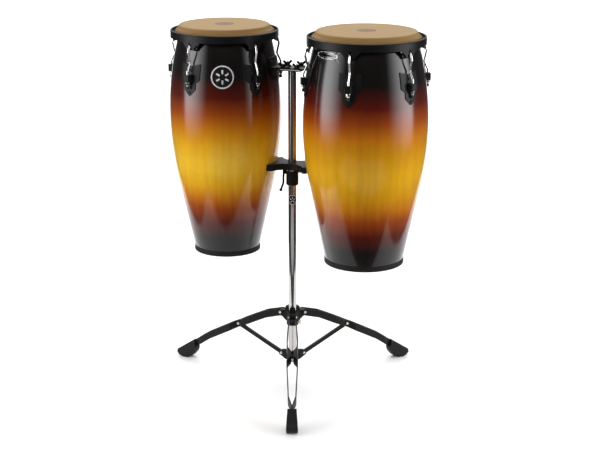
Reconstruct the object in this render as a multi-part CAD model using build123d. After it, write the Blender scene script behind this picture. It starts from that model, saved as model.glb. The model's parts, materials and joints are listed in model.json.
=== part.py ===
"""A pair of barrel-shaped conga drums hung on a folding tripod stand.

The stand is a chromed pole on three double-strip legs. A plate on top of the pole clamps one bracket of
each drum under two wing nuts, and a cradle lower down carries the belly of each shell. Every sub-part is
written to parts/NODE.step, in millimetres, +Z up, standing on z = 0.
"""

from build123d import *

import os
from dataclasses import dataclass
from math import atan2, cos, degrees, hypot, radians, sin, sqrt, tan

# ---------------------------------------------------------------- driving dimensions
# Stand
POLE_RADIUS = 12.7
POLE_WALL = 1.6
RIM_TOP = 1117.0              # height of both rims above the floor
HANG_ANGLE = -18.0            # direction of the right drum, seen from the pole
REACH = 56.0                  # pole axis to shell surface, at the bracket
SLIDE_GAP = 0.15              # radial gap of everything that slides on the pole
PIN_GAP = 0.06                # radial gap of every pin in its hole
FACE_GAP = 0.2                # gap between faces that move past each other

# Top plate and its clamps
PLATE_LENGTH = 80.0
PLATE_WIDTH = 76.0
PLATE_THICK = 4.0
TONGUE_DROP = 109.5           # rim top down to the face that the tongues rest on
TONGUE_THICK = 4.0
TONGUE_WIDTH = 68.0
TONGUE_END = 12.0             # pole axis to the inner end of a tongue
STUD_RADIUS = 3.0
STUD_X = 22.0
STUD_Y = 22.0
STUD_HEIGHT = 16.0
NUT_BODY_RADIUS = 6.5
NUT_BODY_HEIGHT = 8.0
WING_REACH = 14.0
WING_RISE = 15.0
WING_THICK = 3.0

# Cradle and pole clamp
CRADLE_DROP = 402.0           # rim top down to the top of the cradle
CRADLE_HEIGHT = 20.0
CRADLE_HALF_DEPTH = 55.0      # half the chord that holds a drum
CRADLE_WALL = 11.15           # cradle in front of and behind the pole
PAD_THICK = 4.0
PAD_GAP = 0.5
COLLAR_WALL = 6.15
COLLAR_GAP = 7.0              # cradle underside to the top of the clamp collar
COLLAR_HEIGHT = 45.0
COLLAR_SLIT = 3.0
JAW_WIDTH = 28.0
JAW_WALL = 4.0                # jaw behind the clamp bolt
JAW_HEIGHT = 22.0
CLAMP_BOLT_RADIUS = 3.0
CLAMP_BOLT_WALL = 4.15        # collar between pole and clamp bolt
CLAMP_BOLT_LEFT = 28.0
CLAMP_BOLT_RIGHT = 30.0
LEVER_BOSS_RADIUS = 6.5
LEVER_BOSS_LENGTH = 16.0
LEVER_DROP = 57.0
LEVER_SWEEP = 9.0
LEVER_ROD = 3.2
LEVER_BALL = 5.0
CRADLE_SCREWS = 6
CRADLE_SCREW_RADIUS = 2.0
CRADLE_SCREW_WALL = 1.15      # collar between pole and screws

# Tripod
LEG_COUNT = 3
PIVOT_REACH = 26.8            # pole surface to the pivots of hub and lower collar
HUB_PIVOT_Z = 222.7
LOWER_PIVOT_Z = 83.6
LINK_LENGTH = 176.5           # hub pivot to mid rivet, and lower pivot to mid rivet
FOOT_RADIUS = 407.0           # pole axis to the middle of a foot's sole
STRIP_HEIGHT = 22.0
STRIP_THICK = 3.0
BRACE_WIDTH = 13.0
BRACE_THICK = 6.0
RIVET_RADIUS = 3.0
RIVET_HEAD = 4.6
RIVET_HEAD_HEIGHT = 2.0
HUB_WALL = 6.15
HUB_BOTTOM = 186.0
HUB_TOP = 234.0
EAR_WIDTH = 17.6
HORN_TOP = 247.0
LOWER_WALL = 4.8
LOWER_BOTTOM = 64.0
LOWER_TOP = 98.0
LOWER_FLOOR = 4.0
LOWER_EAR_THICK = 3.0
FOOT_HEEL_WIDTH = 25.0
FOOT_TOE_WIDTH = 35.0
FOOT_RIBS = 7
FOOT_RIB_DEPTH = 1.2
HUB_SCREW_Z = 198.0
HUB_SCREW_ANGLE = -30.0
HUB_SCREW_RADIUS = 2.5

# Drums: sizes that both share
SHELL_HEIGHT = 711.0          # bottom of the shell to the top of the skin
CROWN = 15.0                  # skin above the rim's top edge
SHELL_WALL = 11.0
SKIN_THICK = 1.8
RIM_THICK = 2.8
RIM_BEAD = 3.0
RIM_DEPTH = 23.0
FLANGE_DEPTH = 9.0
FLANGE_THICK = 2.5
FLANGE_REACH = 11.5
HOOP_RADIUS = 3.9
EAR_TOP_WIDTH = 62.0
EAR_TIP_WIDTH = 26.0
EAR_DROP = 45.0
SLOT_WIDTH = 8.0
SLOT_TOP = 21.0
SLOT_BOTTOM = 40.0
ROD_RADIUS = 3.25
ROD_STANDOFF = 13.0           # rod axis outside the rim's outer wall, where it passes the lug
ROD_BOTTOM = 159.0
LUG_TOP = 118.0
LUG_BOTTOM = 140.0
LUG_WIDTH = 20.0
LUG_HOLE_GAP = 0.4
LUG_LIP = 7.5                 # lug material outside the rod axis
LUG_PLATE_TOP = 85.0
LUG_PLATE_WIDE = 66.0
LUG_PLATE_NARROW = 40.0
LUG_PLATE_STEP = 134.0
LUG_PLATE_NECK = 143.0
LUG_PLATE_SHOULDER = 162.0
LUG_PLATE_TIP = 181.0
LUG_PLATE_NOTCH = 8.0
SHEET_THICK = 2.5
SHEET_GAP = 0.3
TUNING_NUT_RADIUS = 6.6
TUNING_NUT_HEIGHT = 7.5
CAP_RADIUS = 4.4
CAP_LENGTH = 10.0
TUNING_TRAVEL = 3.75          # how far the rim comes down while the head is tuned
BRACKET_TOP = 78.0
BRACKET_BOTTOM = 153.0
BRACKET_WIDTH = 70.0
SCREW_RADIUS = 2.5
SCREW_HEAD_RADIUS = 4.5
SCREW_HEAD_HEIGHT = 2.2
SCREW_NUT_HEIGHT = 4.0
GUARD_HEIGHT = 17.0
GUARD_THICK = 3.0
BADGE_THICK = 1.0


# Places that follow from the sizes above
FOOT_DEPTH = SHELL_HEIGHT - CROWN
NECK_RISE = 7.0               # top of the staves' curve, above the rim top
CRADLE_TOP = RIM_TOP - CRADLE_DROP
CRADLE_BODY = POLE_RADIUS + SLIDE_GAP + CRADLE_WALL
COLLAR_RADIUS = POLE_RADIUS + SLIDE_GAP + COLLAR_WALL
CLAMP_BOLT_Y = POLE_RADIUS + SLIDE_GAP + CLAMP_BOLT_WALL + CLAMP_BOLT_RADIUS
JAW_DEPTH = CLAMP_BOLT_Y + CLAMP_BOLT_RADIUS + JAW_WALL
CRADLE_SCREW_CIRCLE = POLE_RADIUS + SLIDE_GAP + CRADLE_SCREW_WALL + CRADLE_SCREW_RADIUS
PIVOT_RADIUS = POLE_RADIUS + PIVOT_REACH
HUB_RADIUS = POLE_RADIUS + SLIDE_GAP + HUB_WALL
LOWER_RADIUS = POLE_RADIUS + LOWER_WALL


@dataclass(frozen=True)
class Drum:
    """One drum: its radii at named heights, its lugs, and the side of the pole that it hangs on."""

    name: str
    rim_step: float           # neck of the shell out to the rim's outer wall
    belly: float              # outer radius of the shell where it is widest
    foot: float               # outer radius of the shell at its bottom
    belly_depth: float        # widest place, under the rim top
    upper_curve: float        # bending radius of the staves above the belly
    straight: float           # height of the straight part above the foot
    lugs: int
    side: int                 # -1 hangs on the left of the pole, +1 on the right
    badge: tuple              # width, height and depth under the rim top of its badge
    badge_step: float         # badge's place, in lug steps from the bracket

    @property
    def rim(self):
        """Outer radius of the rim, set by the neck that it draws the skin over."""
        rise = self.belly_depth + NECK_RISE
        return self.belly - self.upper_curve + sqrt(self.upper_curve**2 - rise**2) + self.rim_step

    @property
    def flank_angle(self):
        """Lean of the straight part, which brings bend and straight from the belly in to the foot."""
        bend_height = FOOT_DEPTH - self.belly_depth - self.straight
        low, high = 0.0, radians(60)
        for _ in range(50):
            middle = (low + high) / 2
            if bend_height * tan(middle / 2) + self.straight * tan(middle) < self.belly - self.foot:
                low = middle
            else:
                high = middle
        return low

    @property
    def lower_curve(self):
        """Bending radius of the staves below the belly."""
        return (FOOT_DEPTH - self.belly_depth - self.straight) / sin(self.flank_angle)


DRUMS = (
    Drum("left", 32.3, 172.0, 99.0, 250.0, 860.0, 216.6, 5, -1, (70.0, 70.0, 121.0), -1.0),
    Drum("right", 31.0, 188.8, 117.5, 265.0, 906.0, 248.8, 6, 1, (88.0, 21.0, 42.0), 1.0),
)

nodes = {}


# ---------------------------------------------------------------- helpers
def pillar(radius, low, high, x=0.0, y=0.0):
    """A vertical cylinder between two heights."""
    return Pos(x, y, (low + high) / 2) * Cylinder(radius, high - low)


def block(x0, x1, y0, y1, z0, z1):
    """A box between two corners."""
    return Pos((x0 + x1) / 2, (y0 + y1) / 2, (z0 + z1) / 2) * Box(x1 - x0, y1 - y0, z1 - z0)


def bar_x(radius, x0, x1, y, z):
    """A cylinder along X."""
    return Pos((x0 + x1) / 2, y, z) * Rot(0, 90, 0) * Cylinder(radius, x1 - x0)


def bar_y(radius, y0, y1, x, z):
    """A cylinder along Y."""
    return Pos(x, (y0 + y1) / 2, z) * Rot(90, 0, 0) * Cylinder(radius, y1 - y0)


def hexagon(radius, low, high, x=0.0, y=0.0):
    """A vertical hexagonal prism, its radius across the corners."""
    return Pos(x, y, low) * extrude(RegularPolygon(radius, 6), high - low)


def side_plate(face, y0, y1):
    """A sketch drawn in radius and height, as a plate between two values of Y."""
    return Pos(0, y1, 0) * extrude(Plane.XZ * face, y1 - y0)


def around(shape, angles):
    """Copies of a shape turned round Z, as one compound of separate solids."""
    return Compound([s for a in angles for s in (Rot(0, 0, a) * shape).solids()])


# ---------------------------------------------------------------- stand
PLATE_TOP = RIM_TOP - TONGUE_DROP
POLE_TOP = PLATE_TOP - PLATE_THICK
LEG_ANGLES = [-90.0 + k * 360.0 / LEG_COUNT for k in range(LEG_COUNT)]
LEG_NAMES = ("front", "right", "left")
MID_Z = (HUB_PIVOT_Z + LOWER_PIVOT_Z) / 2
MID_RADIUS = PIVOT_RADIUS + sqrt(LINK_LENGTH**2 - ((HUB_PIVOT_Z - LOWER_PIVOT_Z) / 2) ** 2)
PINCH = BRACE_THICK / 2 + FACE_GAP + STRIP_THICK / 2       # strip's middle, at the mid rivet
EAR_PINCH = EAR_WIDTH / 2 + FACE_GAP + STRIP_THICK / 2     # strip's middle, at the hub


def make_pole():
    """The chromed tube, from the lower collar's floor to the top plate."""
    outer = pillar(POLE_RADIUS, LOWER_BOTTOM + LOWER_FLOOR, POLE_TOP)
    return outer - pillar(POLE_RADIUS - POLE_WALL, LOWER_BOTTOM, POLE_TOP + 1)


PLUG_LENGTH = 25.0
PLUG_SCREW_RADIUS = 4.0


def make_top_plate():
    """The chromed plate that both tongues rest on."""
    plate = block(-PLATE_LENGTH / 2, PLATE_LENGTH / 2, -PLATE_WIDTH / 2, PLATE_WIDTH / 2, POLE_TOP, PLATE_TOP)
    plate = fillet(plate.edges().filter_by(Axis.Z), 6)
    plate = chamfer(plate.faces().sort_by(Axis.Z)[-1].outer_wire().edges(), 0.6)
    plate -= pillar(PLUG_SCREW_RADIUS, POLE_TOP - 1, PLATE_TOP + 1)
    for x in (-STUD_X, STUD_X):
        for y in (-STUD_Y, STUD_Y):
            plate -= pillar(STUD_RADIUS, POLE_TOP - 1, PLATE_TOP + 1, x, y)
    return Rot(0, 0, HANG_ANGLE) * plate


def make_plate_fasteners():
    """The plug in the pole, the screw that holds the plate to it, and four studs with their heads below."""
    plug = pillar(POLE_RADIUS - POLE_WALL, POLE_TOP - PLUG_LENGTH, POLE_TOP)
    plug -= pillar(PLUG_SCREW_RADIUS, POLE_TOP - PLUG_LENGTH - 1, POLE_TOP + 1)
    screw = pillar(PLUG_SCREW_RADIUS, POLE_TOP - PLUG_LENGTH + 3, PLATE_TOP)
    screw += pillar(7.0, PLATE_TOP, PLATE_TOP + 2.5)
    screw -= hexagon(2.6, PLATE_TOP + 0.8, PLATE_TOP + 3)
    solids = [plug, screw]
    for x in (-STUD_X, STUD_X):
        for y in (-STUD_Y, STUD_Y):
            stud = pillar(STUD_RADIUS, POLE_TOP - 3, PLATE_TOP + STUD_HEIGHT, x, y)
            stud += pillar(5.5, POLE_TOP - 3, POLE_TOP, x, y)
            solids.append(stud)
    return Compound([s for p in solids for s in (Rot(0, 0, HANG_ANGLE) * p).solids()])


def make_wing_nut(x, y):
    """A wing nut on a stud, its two wings rising outwards."""
    base = PLATE_TOP + TONGUE_THICK + FACE_GAP
    nut = Cone(NUT_BODY_RADIUS + 1.5, NUT_BODY_RADIUS - 0.5, NUT_BODY_HEIGHT)
    nut = Pos(0, 0, base + NUT_BODY_HEIGHT / 2) * nut
    wing = Polyline(
        (2.0, base + 1), (5.0, base + 1), (WING_REACH, base + WING_RISE - 6), (WING_REACH, base + WING_RISE),
        (WING_REACH - 4, base + WING_RISE), (2.0, base + NUT_BODY_HEIGHT), close=True,
    )
    plate = side_plate(fillet(make_face(wing).vertices(), 1.2), -WING_THICK / 2, WING_THICK / 2)
    nut += plate
    nut += Rot(0, 0, 180) * plate
    nut -= pillar(STUD_RADIUS + PIN_GAP, base - 1, base + WING_RISE + 5)
    return Rot(0, 0, HANG_ANGLE) * Pos(x, y, 0) * Rot(0, 0, 35) * nut


def leg_angle_plane(shape, angle):
    """Turns a piece drawn in the plane of +X into the plane of a leg."""
    return Rot(0, 0, angle) * shape


def make_hub():
    """The sleeve that slides on the pole, with one ear for each leg."""
    hub = pillar(HUB_RADIUS, HUB_BOTTOM, HUB_TOP)
    hub = chamfer(hub.edges().filter_by(GeomType.CIRCLE), 1.5)
    outline = Polyline(
        (HUB_RADIUS - 9, HUB_BOTTOM + 12), (HUB_RADIUS, HUB_BOTTOM + 12), (PIVOT_RADIUS - 6, HUB_PIVOT_Z - 13),
        (PIVOT_RADIUS + 3, HUB_PIVOT_Z - 11), (PIVOT_RADIUS + 8, HUB_PIVOT_Z - 5),
        (PIVOT_RADIUS + 8, HUB_PIVOT_Z + 5), (PIVOT_RADIUS + 2, HUB_PIVOT_Z + 9),
        (HUB_RADIUS + 5, HUB_PIVOT_Z + 9), (HUB_RADIUS + 1, HORN_TOP), (HUB_RADIUS - 3.5, HORN_TOP),
        (HUB_RADIUS - 5, HUB_TOP - 4), (HUB_RADIUS - 9, HUB_TOP - 6), close=True,
    )
    ear = side_plate(make_face(outline), -EAR_WIDTH / 2, EAR_WIDTH / 2)
    ear -= bar_y(RIVET_RADIUS, -EAR_WIDTH, EAR_WIDTH, PIVOT_RADIUS, HUB_PIVOT_Z)
    for angle in LEG_ANGLES:
        hub += leg_angle_plane(ear, angle)
    hub -= pillar(POLE_RADIUS + SLIDE_GAP, 0, RIM_TOP)
    hole = bar_x(HUB_SCREW_RADIUS + PIN_GAP, 0, HUB_RADIUS + 5, 0, HUB_SCREW_Z)
    return hub - Rot(0, 0, HUB_SCREW_ANGLE) * hole


def rivet(half, x, z):
    """A rivet along Y with a domed head at each end."""
    pin = bar_y(RIVET_RADIUS, -half, half, x, z)
    for side in (-1, 1):
        head = Cone(RIVET_HEAD, RIVET_HEAD * 0.62, RIVET_HEAD_HEIGHT)
        pin += Pos(x, side * (half + RIVET_HEAD_HEIGHT / 2), z) * Rot(-90 * side, 0, 0) * head
    return pin


def make_hub_rivets():
    """The three pivots of the legs in the hub."""
    half = EAR_PINCH + STRIP_THICK / 2 + FACE_GAP
    return around(rivet(half, PIVOT_RADIUS, HUB_PIVOT_Z), LEG_ANGLES)


def make_hub_screw():
    """The thumb screw that locks the hub on the pole."""
    screw = bar_x(HUB_SCREW_RADIUS, POLE_RADIUS + 0.3, HUB_RADIUS + 8, 0, HUB_SCREW_Z)
    screw += bar_x(4.0, HUB_RADIUS + 0.5, HUB_RADIUS + 4, 0, HUB_SCREW_Z)
    wing = Pos(HUB_RADIUS + 8, 0, HUB_SCREW_Z) * Box(7.0, 3.0, 15.0)
    screw += fillet(wing.edges().filter_by(Axis.Y), 2.5)
    return Rot(0, 0, HUB_SCREW_ANGLE) * screw


def strip_side():
    """Side outline of a leg, in radius and height: the same band all along, bent twice, round at the hub."""
    line = FilletPolyline(
        (PIVOT_RADIUS, HUB_PIVOT_Z), (PIVOT_RADIUS + 55.5, HUB_PIVOT_Z - 16.7), (MID_RADIUS, MID_Z),
        (FOOT_RADIUS - 89, 90), (FOOT_RADIUS - 15, 37), radius=40,
    )
    return trace(line, STRIP_HEIGHT) + Pos(PIVOT_RADIUS, HUB_PIVOT_Z) * Circle(STRIP_HEIGHT / 2)


BOW_HUB = 14.5                # strip's middle, halfway to the mid rivet
BOW_FOOT = 16.5               # strip's middle, just past the mid rivet
BOW_END = 11.0                # strip's middle, where it turns in to the foot


def make_leg():
    """Two bowed strips, pinched together on the brace at the mid rivet and again in the foot."""
    line = FilletPolyline(
        (PIVOT_RADIUS - 12, EAR_PINCH), (PIVOT_RADIUS + 14, EAR_PINCH), (MID_RADIUS - 50, BOW_HUB + 2.0),
        (MID_RADIUS - 22, BOW_HUB), (MID_RADIUS - 9, PINCH), (MID_RADIUS + 9, PINCH),
        (MID_RADIUS + 24, BOW_FOOT), (FOOT_RADIUS - 62, BOW_END), (FOOT_RADIUS - 38, STRIP_THICK / 2 + 0.1),
        (FOOT_RADIUS - 12, STRIP_THICK / 2 + 0.1), radius=5,
    )
    strip = extrude(trace(line, STRIP_THICK), HUB_TOP + 20)
    strip &= side_plate(strip_side(), 0, 30)
    strip -= bar_y(RIVET_RADIUS + PIN_GAP, 0, 30, PIVOT_RADIUS, HUB_PIVOT_Z)
    strip -= bar_y(RIVET_RADIUS, 0, 30, MID_RADIUS, MID_Z)
    return Compound([*strip.solids(), *mirror(strip, Plane.XZ).solids()])


def make_brace():
    """The flat bar from the lower collar to the mid rivet."""
    angle = degrees(atan2(MID_Z - LOWER_PIVOT_Z, MID_RADIUS - PIVOT_RADIUS))
    slot = Pos(LINK_LENGTH / 2, 0) * SlotCenterToCenter(LINK_LENGTH, BRACE_WIDTH)
    face = Pos(PIVOT_RADIUS, LOWER_PIVOT_Z) * Rot(0, 0, angle) * slot
    bar = side_plate(face, -BRACE_THICK / 2, BRACE_THICK / 2)
    for x, z in ((PIVOT_RADIUS, LOWER_PIVOT_Z), (MID_RADIUS, MID_Z)):
        bar -= bar_y(RIVET_RADIUS + PIN_GAP, -BRACE_THICK, BRACE_THICK, x, z)
    return bar


def make_foot(leg):
    """The ribbed rubber foot, with a flat sole and the strips' end inside it."""
    top = FOOT_RADIUS - 31
    outline = Polyline(
        (FOOT_RADIUS - 42, 38), (FOOT_RADIUS - 35, 56), (top + 6, 61), (FOOT_RADIUS + 28, 25),
        (FOOT_RADIUS + 30, 14), (FOOT_RADIUS + 22, 5), (FOOT_RADIUS + 9, 0), (FOOT_RADIUS - 9, 0),
        (FOOT_RADIUS - 24, 8), (FOOT_RADIUS - 38, 25), close=True,
    )
    half = FOOT_TOE_WIDTH / 2 + 1
    foot = side_plate(make_face(outline), -half, half)
    run = 72.0
    plan = Polyline(
        (FOOT_RADIUS - 42, -FOOT_HEEL_WIDTH / 2), (FOOT_RADIUS - 42 + run, -FOOT_TOE_WIDTH / 2),
        (FOOT_RADIUS - 42 + run, FOOT_TOE_WIDTH / 2), (FOOT_RADIUS - 42, FOOT_HEEL_WIDTH / 2), close=True,
    )
    foot &= extrude(make_face(plan), 80)
    slope = atan2(61 - 25, FOOT_RADIUS + 28 - top - 6)
    for k in range(FOOT_RIBS):
        along = 6.0 + k * 7.6
        x, z = top + 6 + along * cos(slope), 61 - along * sin(slope)
        groove = Rot(0, degrees(slope), 0) * Box(2.4, 60, 2 * FOOT_RIB_DEPTH)
        foot -= Pos(x, 0, z) * groove
    socket = block(FOOT_RADIUS - 60, FOOT_RADIUS - 9, -STRIP_THICK - 0.1, STRIP_THICK + 0.1, 0, 90)
    socket &= side_plate(strip_side(), -10, 10)
    foot -= socket
    for solid in leg.solids():
        foot -= solid
    return foot


def make_lower_collar():
    """The cup on the end of the pole, with a pair of ears for each brace."""
    collar = pillar(LOWER_RADIUS, LOWER_BOTTOM, LOWER_TOP)
    collar = chamfer(collar.edges().filter_by(GeomType.CIRCLE), 1.2)
    outline = Polyline(
        (LOWER_RADIUS - 7.5, LOWER_BOTTOM + 1), (LOWER_RADIUS + 5.5, LOWER_BOTTOM + 1), (PIVOT_RADIUS - 4, LOWER_PIVOT_Z - 11),
        (PIVOT_RADIUS + 7, LOWER_PIVOT_Z - 6), (PIVOT_RADIUS + 8, LOWER_PIVOT_Z + 3),
        (PIVOT_RADIUS + 2, LOWER_PIVOT_Z + 9), (PIVOT_RADIUS - 12, LOWER_PIVOT_Z + 12),
        (LOWER_RADIUS, LOWER_TOP - 2), (LOWER_RADIUS - 7.5, LOWER_TOP - 2), close=True,
    )
    inner = BRACE_THICK / 2 + FACE_GAP
    ear = side_plate(make_face(outline), inner, inner + LOWER_EAR_THICK)
    ear -= bar_y(RIVET_RADIUS, 0, 20, PIVOT_RADIUS, LOWER_PIVOT_Z)
    for angle in LEG_ANGLES:
        collar += leg_angle_plane(ear, angle)
        collar += leg_angle_plane(mirror(ear, Plane.XZ), angle)
    collar -= pillar(POLE_RADIUS, LOWER_BOTTOM + LOWER_FLOOR, LOWER_TOP + 5)
    return collar


def make_lower_rivets():
    """The three pivots of the braces in the lower collar."""
    half = BRACE_THICK / 2 + FACE_GAP + LOWER_EAR_THICK
    return around(rivet(half, PIVOT_RADIUS, LOWER_PIVOT_Z), LEG_ANGLES)


# ---------------------------------------------------------------- shells and what follows them
def centre(drum):
    """Plan position of a drum's axis: REACH from the pole to its surface at the bracket."""
    distance = REACH + radius_at(drum, TONGUE_DROP)
    angle = radians(HANG_ANGLE)
    return drum.side * distance * cos(angle), drum.side * distance * sin(angle)


def bracket_angle(drum):
    """Direction from a drum's axis to the pole."""
    return HANG_ANGLE + (180.0 if drum.side > 0 else 0.0)


def lug_angles(drum):
    """Directions of the lugs, with the bracket halfway between two of them."""
    step = 360.0 / drum.lugs
    return [bracket_angle(drum) + step * (k + 0.5) for k in range(drum.lugs)]


def tangent_point(drum):
    """Where the straight lower part of a shell meets the bend below the belly, as radius and height."""
    radius = drum.belly - drum.lower_curve * (1 - cos(drum.flank_angle))
    return radius, RIM_TOP - FOOT_DEPTH + drum.straight


def radius_at(drum, depth):
    """Outer radius of a shell at a depth under its rim top."""
    rise = drum.belly_depth - depth
    if rise > 0:
        return drum.belly - drum.upper_curve + sqrt(drum.upper_curve**2 - rise**2)
    bend_radius, bend_z = tangent_point(drum)
    if RIM_TOP - depth > bend_z:
        return drum.belly - drum.lower_curve + sqrt(drum.lower_curve**2 - rise**2)
    share = (FOOT_DEPTH - depth) / (bend_z - RIM_TOP + FOOT_DEPTH)
    return drum.foot + (bend_radius - drum.foot) * share


def outer_line(drum, grow=0.0):
    """The outline of a shell from its foot up to its neck: a straight part and two bends."""
    bend_radius, bend_z = tangent_point(drum)
    half_z = (bend_z + RIM_TOP - drum.belly_depth) / 2
    shoulder_depth = (drum.belly_depth - NECK_RISE) / 2
    foot = (drum.foot + grow, RIM_TOP - FOOT_DEPTH)
    bend = (bend_radius + grow, bend_z)
    flank = (radius_at(drum, RIM_TOP - half_z) + grow, half_z)
    belly = (drum.belly + grow, RIM_TOP - drum.belly_depth)
    shoulder = (radius_at(drum, shoulder_depth) + grow, RIM_TOP - shoulder_depth)
    neck = (radius_at(drum, -NECK_RISE) + grow, RIM_TOP + NECK_RISE)
    return [Line(foot, bend), ThreePointArc(bend, flank, belly), ThreePointArc(belly, shoulder, neck)]


def core(drum, grow):
    """Everything inside a shell's outer surface grown by a distance, on the drum's own axis."""
    line = outer_line(drum, grow)
    foot, neck = line[0] @ 0, line[-1] @ 1
    face = make_face([*line, Line(neck, (0, neck.Y)), Line((0, neck.Y), (0, foot.Y)), Line((0, foot.Y), foot)])
    return revolve(Plane.XZ * face, Axis.Z)


def make_shell(drum, cutters):
    """The wooden barrel, open at the bottom, its bearing edge rounded over, drilled for its screws."""
    outer = outer_line(drum)
    inner = outer_line(drum, -SHELL_WALL)
    neck, inside = outer[-1] @ 1, inner[-1] @ 1
    edge_top = RIM_TOP + CROWN - SKIN_THICK - 0.3
    top_out = (neck.X - 5, edge_top)
    top_in = (inside.X, edge_top - 2)
    face = make_face([
        *outer,
        ThreePointArc(neck, (neck.X - 1.6, (neck.Y + edge_top) / 2 + 0.8), top_out),
        Line(top_out, top_in),
        Line(top_in, inside),
        *inner,
        Line(inner[0] @ 0, outer[0] @ 0),
    ])
    return revolve(Plane.XZ * face, Axis.Z) - cutters


def make_head(drum):
    """The skin: flat on top, rounded over the bearing edge, flaring down to the flesh hoop."""
    top, t = RIM_TOP + CROWN, SKIN_THICK
    r = drum.rim
    face = make_face([
        Line((0, top), (r - 32, top)),
        ThreePointArc((r - 32, top), (r - 27.4, top - 1.9), (r - 25.4, top - 6.5)),
        Line((r - 25.4, top - 6.5), (r - 14.4, RIM_TOP - 2)),
        Line((r - 14.4, RIM_TOP - 2), (r - 13.2, RIM_TOP - 20)),
        Line((r - 13.2, RIM_TOP - 20), (r - 13.2 - t, RIM_TOP - 20)),
        Line((r - 13.2 - t, RIM_TOP - 20), (r - 14.4 - t, RIM_TOP - 2)),
        Line((r - 14.4 - t, RIM_TOP - 2), (r - 25.4 - t, top - 6.5 - t * 0.2)),
        ThreePointArc((r - 25.4 - t, top - 6.5 - t * 0.2), (r - 28.6, top - 3.3), (r - 32, top - t)),
        Line((r - 32, top - t), (0, top - t)),
        Line((0, top - t), (0, top)),
    ])
    return revolve(Plane.XZ * face, Axis.Z)


def make_hoop(drum):
    """The flesh hoop under the rim's flange."""
    x = drum.rim - FLANGE_REACH + HOOP_RADIUS + 0.8
    z = RIM_TOP - FLANGE_DEPTH - FLANGE_THICK - HOOP_RADIUS - 0.1
    return revolve(Plane.XZ * (Pos(x, z) * Circle(HOOP_RADIUS)), Axis.Z)


def make_rim(drum):
    """The steel rim: a beaded band with a flange that presses on the hoop and an ear over each lug."""
    r = drum.rim
    band = Pos(r - RIM_THICK / 2, RIM_TOP - RIM_BEAD - (RIM_DEPTH - RIM_BEAD) / 2)
    profile = band * Rectangle(RIM_THICK, RIM_DEPTH - RIM_BEAD)
    profile += Pos(r - RIM_BEAD, RIM_TOP - RIM_BEAD) * Circle(RIM_BEAD)
    flange = Pos(r - RIM_THICK / 2 - FLANGE_REACH / 2 + 1.0, RIM_TOP - FLANGE_DEPTH - FLANGE_THICK / 2)
    profile += flange * Rectangle(FLANGE_REACH - 1.0, FLANGE_THICK)
    rim = revolve(Plane.XZ * profile, Axis.Z)
    ear = Polyline(
        (-EAR_TOP_WIDTH / 2, -RIM_DEPTH + 4), (EAR_TOP_WIDTH / 2, -RIM_DEPTH + 4),
        (EAR_TOP_WIDTH / 2, -RIM_DEPTH), (EAR_TIP_WIDTH / 2 + 5, -EAR_DROP + 9), (EAR_TIP_WIDTH / 2, -EAR_DROP),
        (-EAR_TIP_WIDTH / 2, -EAR_DROP), (-EAR_TIP_WIDTH / 2 - 5, -EAR_DROP + 9),
        (-EAR_TOP_WIDTH / 2, -RIM_DEPTH), close=True,
    )
    outline = extrude(Plane.YZ.offset(r - 30) * Pos(0, RIM_TOP) * make_face(ear), 60)
    sleeve = pillar(r - 0.2, RIM_TOP - EAR_DROP - 5, RIM_TOP - RIM_DEPTH + 6)
    sleeve -= pillar(r - RIM_THICK + 0.2, RIM_TOP - EAR_DROP - 10, RIM_TOP)
    tab = outline & sleeve
    slot = Pos(0, RIM_TOP - (SLOT_TOP + SLOT_BOTTOM) / 2) * Rot(0, 0, 90)
    slot *= SlotOverall(SLOT_BOTTOM - SLOT_TOP, SLOT_WIDTH)
    cut = extrude(Plane.YZ.offset(r - 8) * slot, 20)
    turns = [Rot(0, 0, angle) for angle in lug_angles(drum)]
    rim = rim + [turn * tab for turn in turns]
    return rim - [turn * cut for turn in turns]


def rod_line(drum):
    """The middle line of a tuning rod: hooked through the ear's slot, waved, then straight through the lug."""
    r = drum.rim
    return FilletPolyline(
        (r - 5.5, RIM_TOP - 30.5), (r + 3, RIM_TOP - 34), (r + 8, RIM_TOP - 52), (r + 1, RIM_TOP - 82),
        (r + ROD_STANDOFF, RIM_TOP - 108), (r + ROD_STANDOFF, RIM_TOP - ROD_BOTTOM + 1), radius=7,
    )


def make_rods(drum):
    """The tuning rods, each with its hook end behind the ear and a rubber cap on its thread."""
    path = Plane.XZ * rod_line(drum)
    rod = sweep(Plane(origin=path @ 0, z_dir=path % 0) * Circle(ROD_RADIUS), path)
    rod += bar_y(ROD_RADIUS - 0.4, -7.5, 7.5, drum.rim - RIM_THICK - ROD_RADIUS - 0.1, RIM_TOP - 30.5)
    bottom = RIM_TOP - ROD_BOTTOM
    x = drum.rim + ROD_STANDOFF
    cap = pillar(CAP_RADIUS, bottom - 2, bottom + CAP_LENGTH - 2, x)
    cap = fillet(cap.faces().sort_by(Axis.Z)[0].edges(), 2.5)
    cap -= pillar(ROD_RADIUS, bottom + 1, bottom + 20, x)
    return around(Compound([*rod.solids(), *cap.solids()]), lug_angles(drum))


def make_tuning_nut(drum, angle):
    """The hexagonal nut with its collar, under the lug."""
    high = RIM_TOP - LUG_BOTTOM - FACE_GAP
    x = drum.rim + ROD_STANDOFF
    nut = hexagon(TUNING_NUT_RADIUS, high - TUNING_NUT_HEIGHT, high - 1.4, x)
    nut += pillar(TUNING_NUT_RADIUS, high - 1.6, high, x)
    nut -= pillar(ROD_RADIUS + PIN_GAP, high - 20, high + 2, x)
    return Rot(0, 0, angle) * nut


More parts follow.
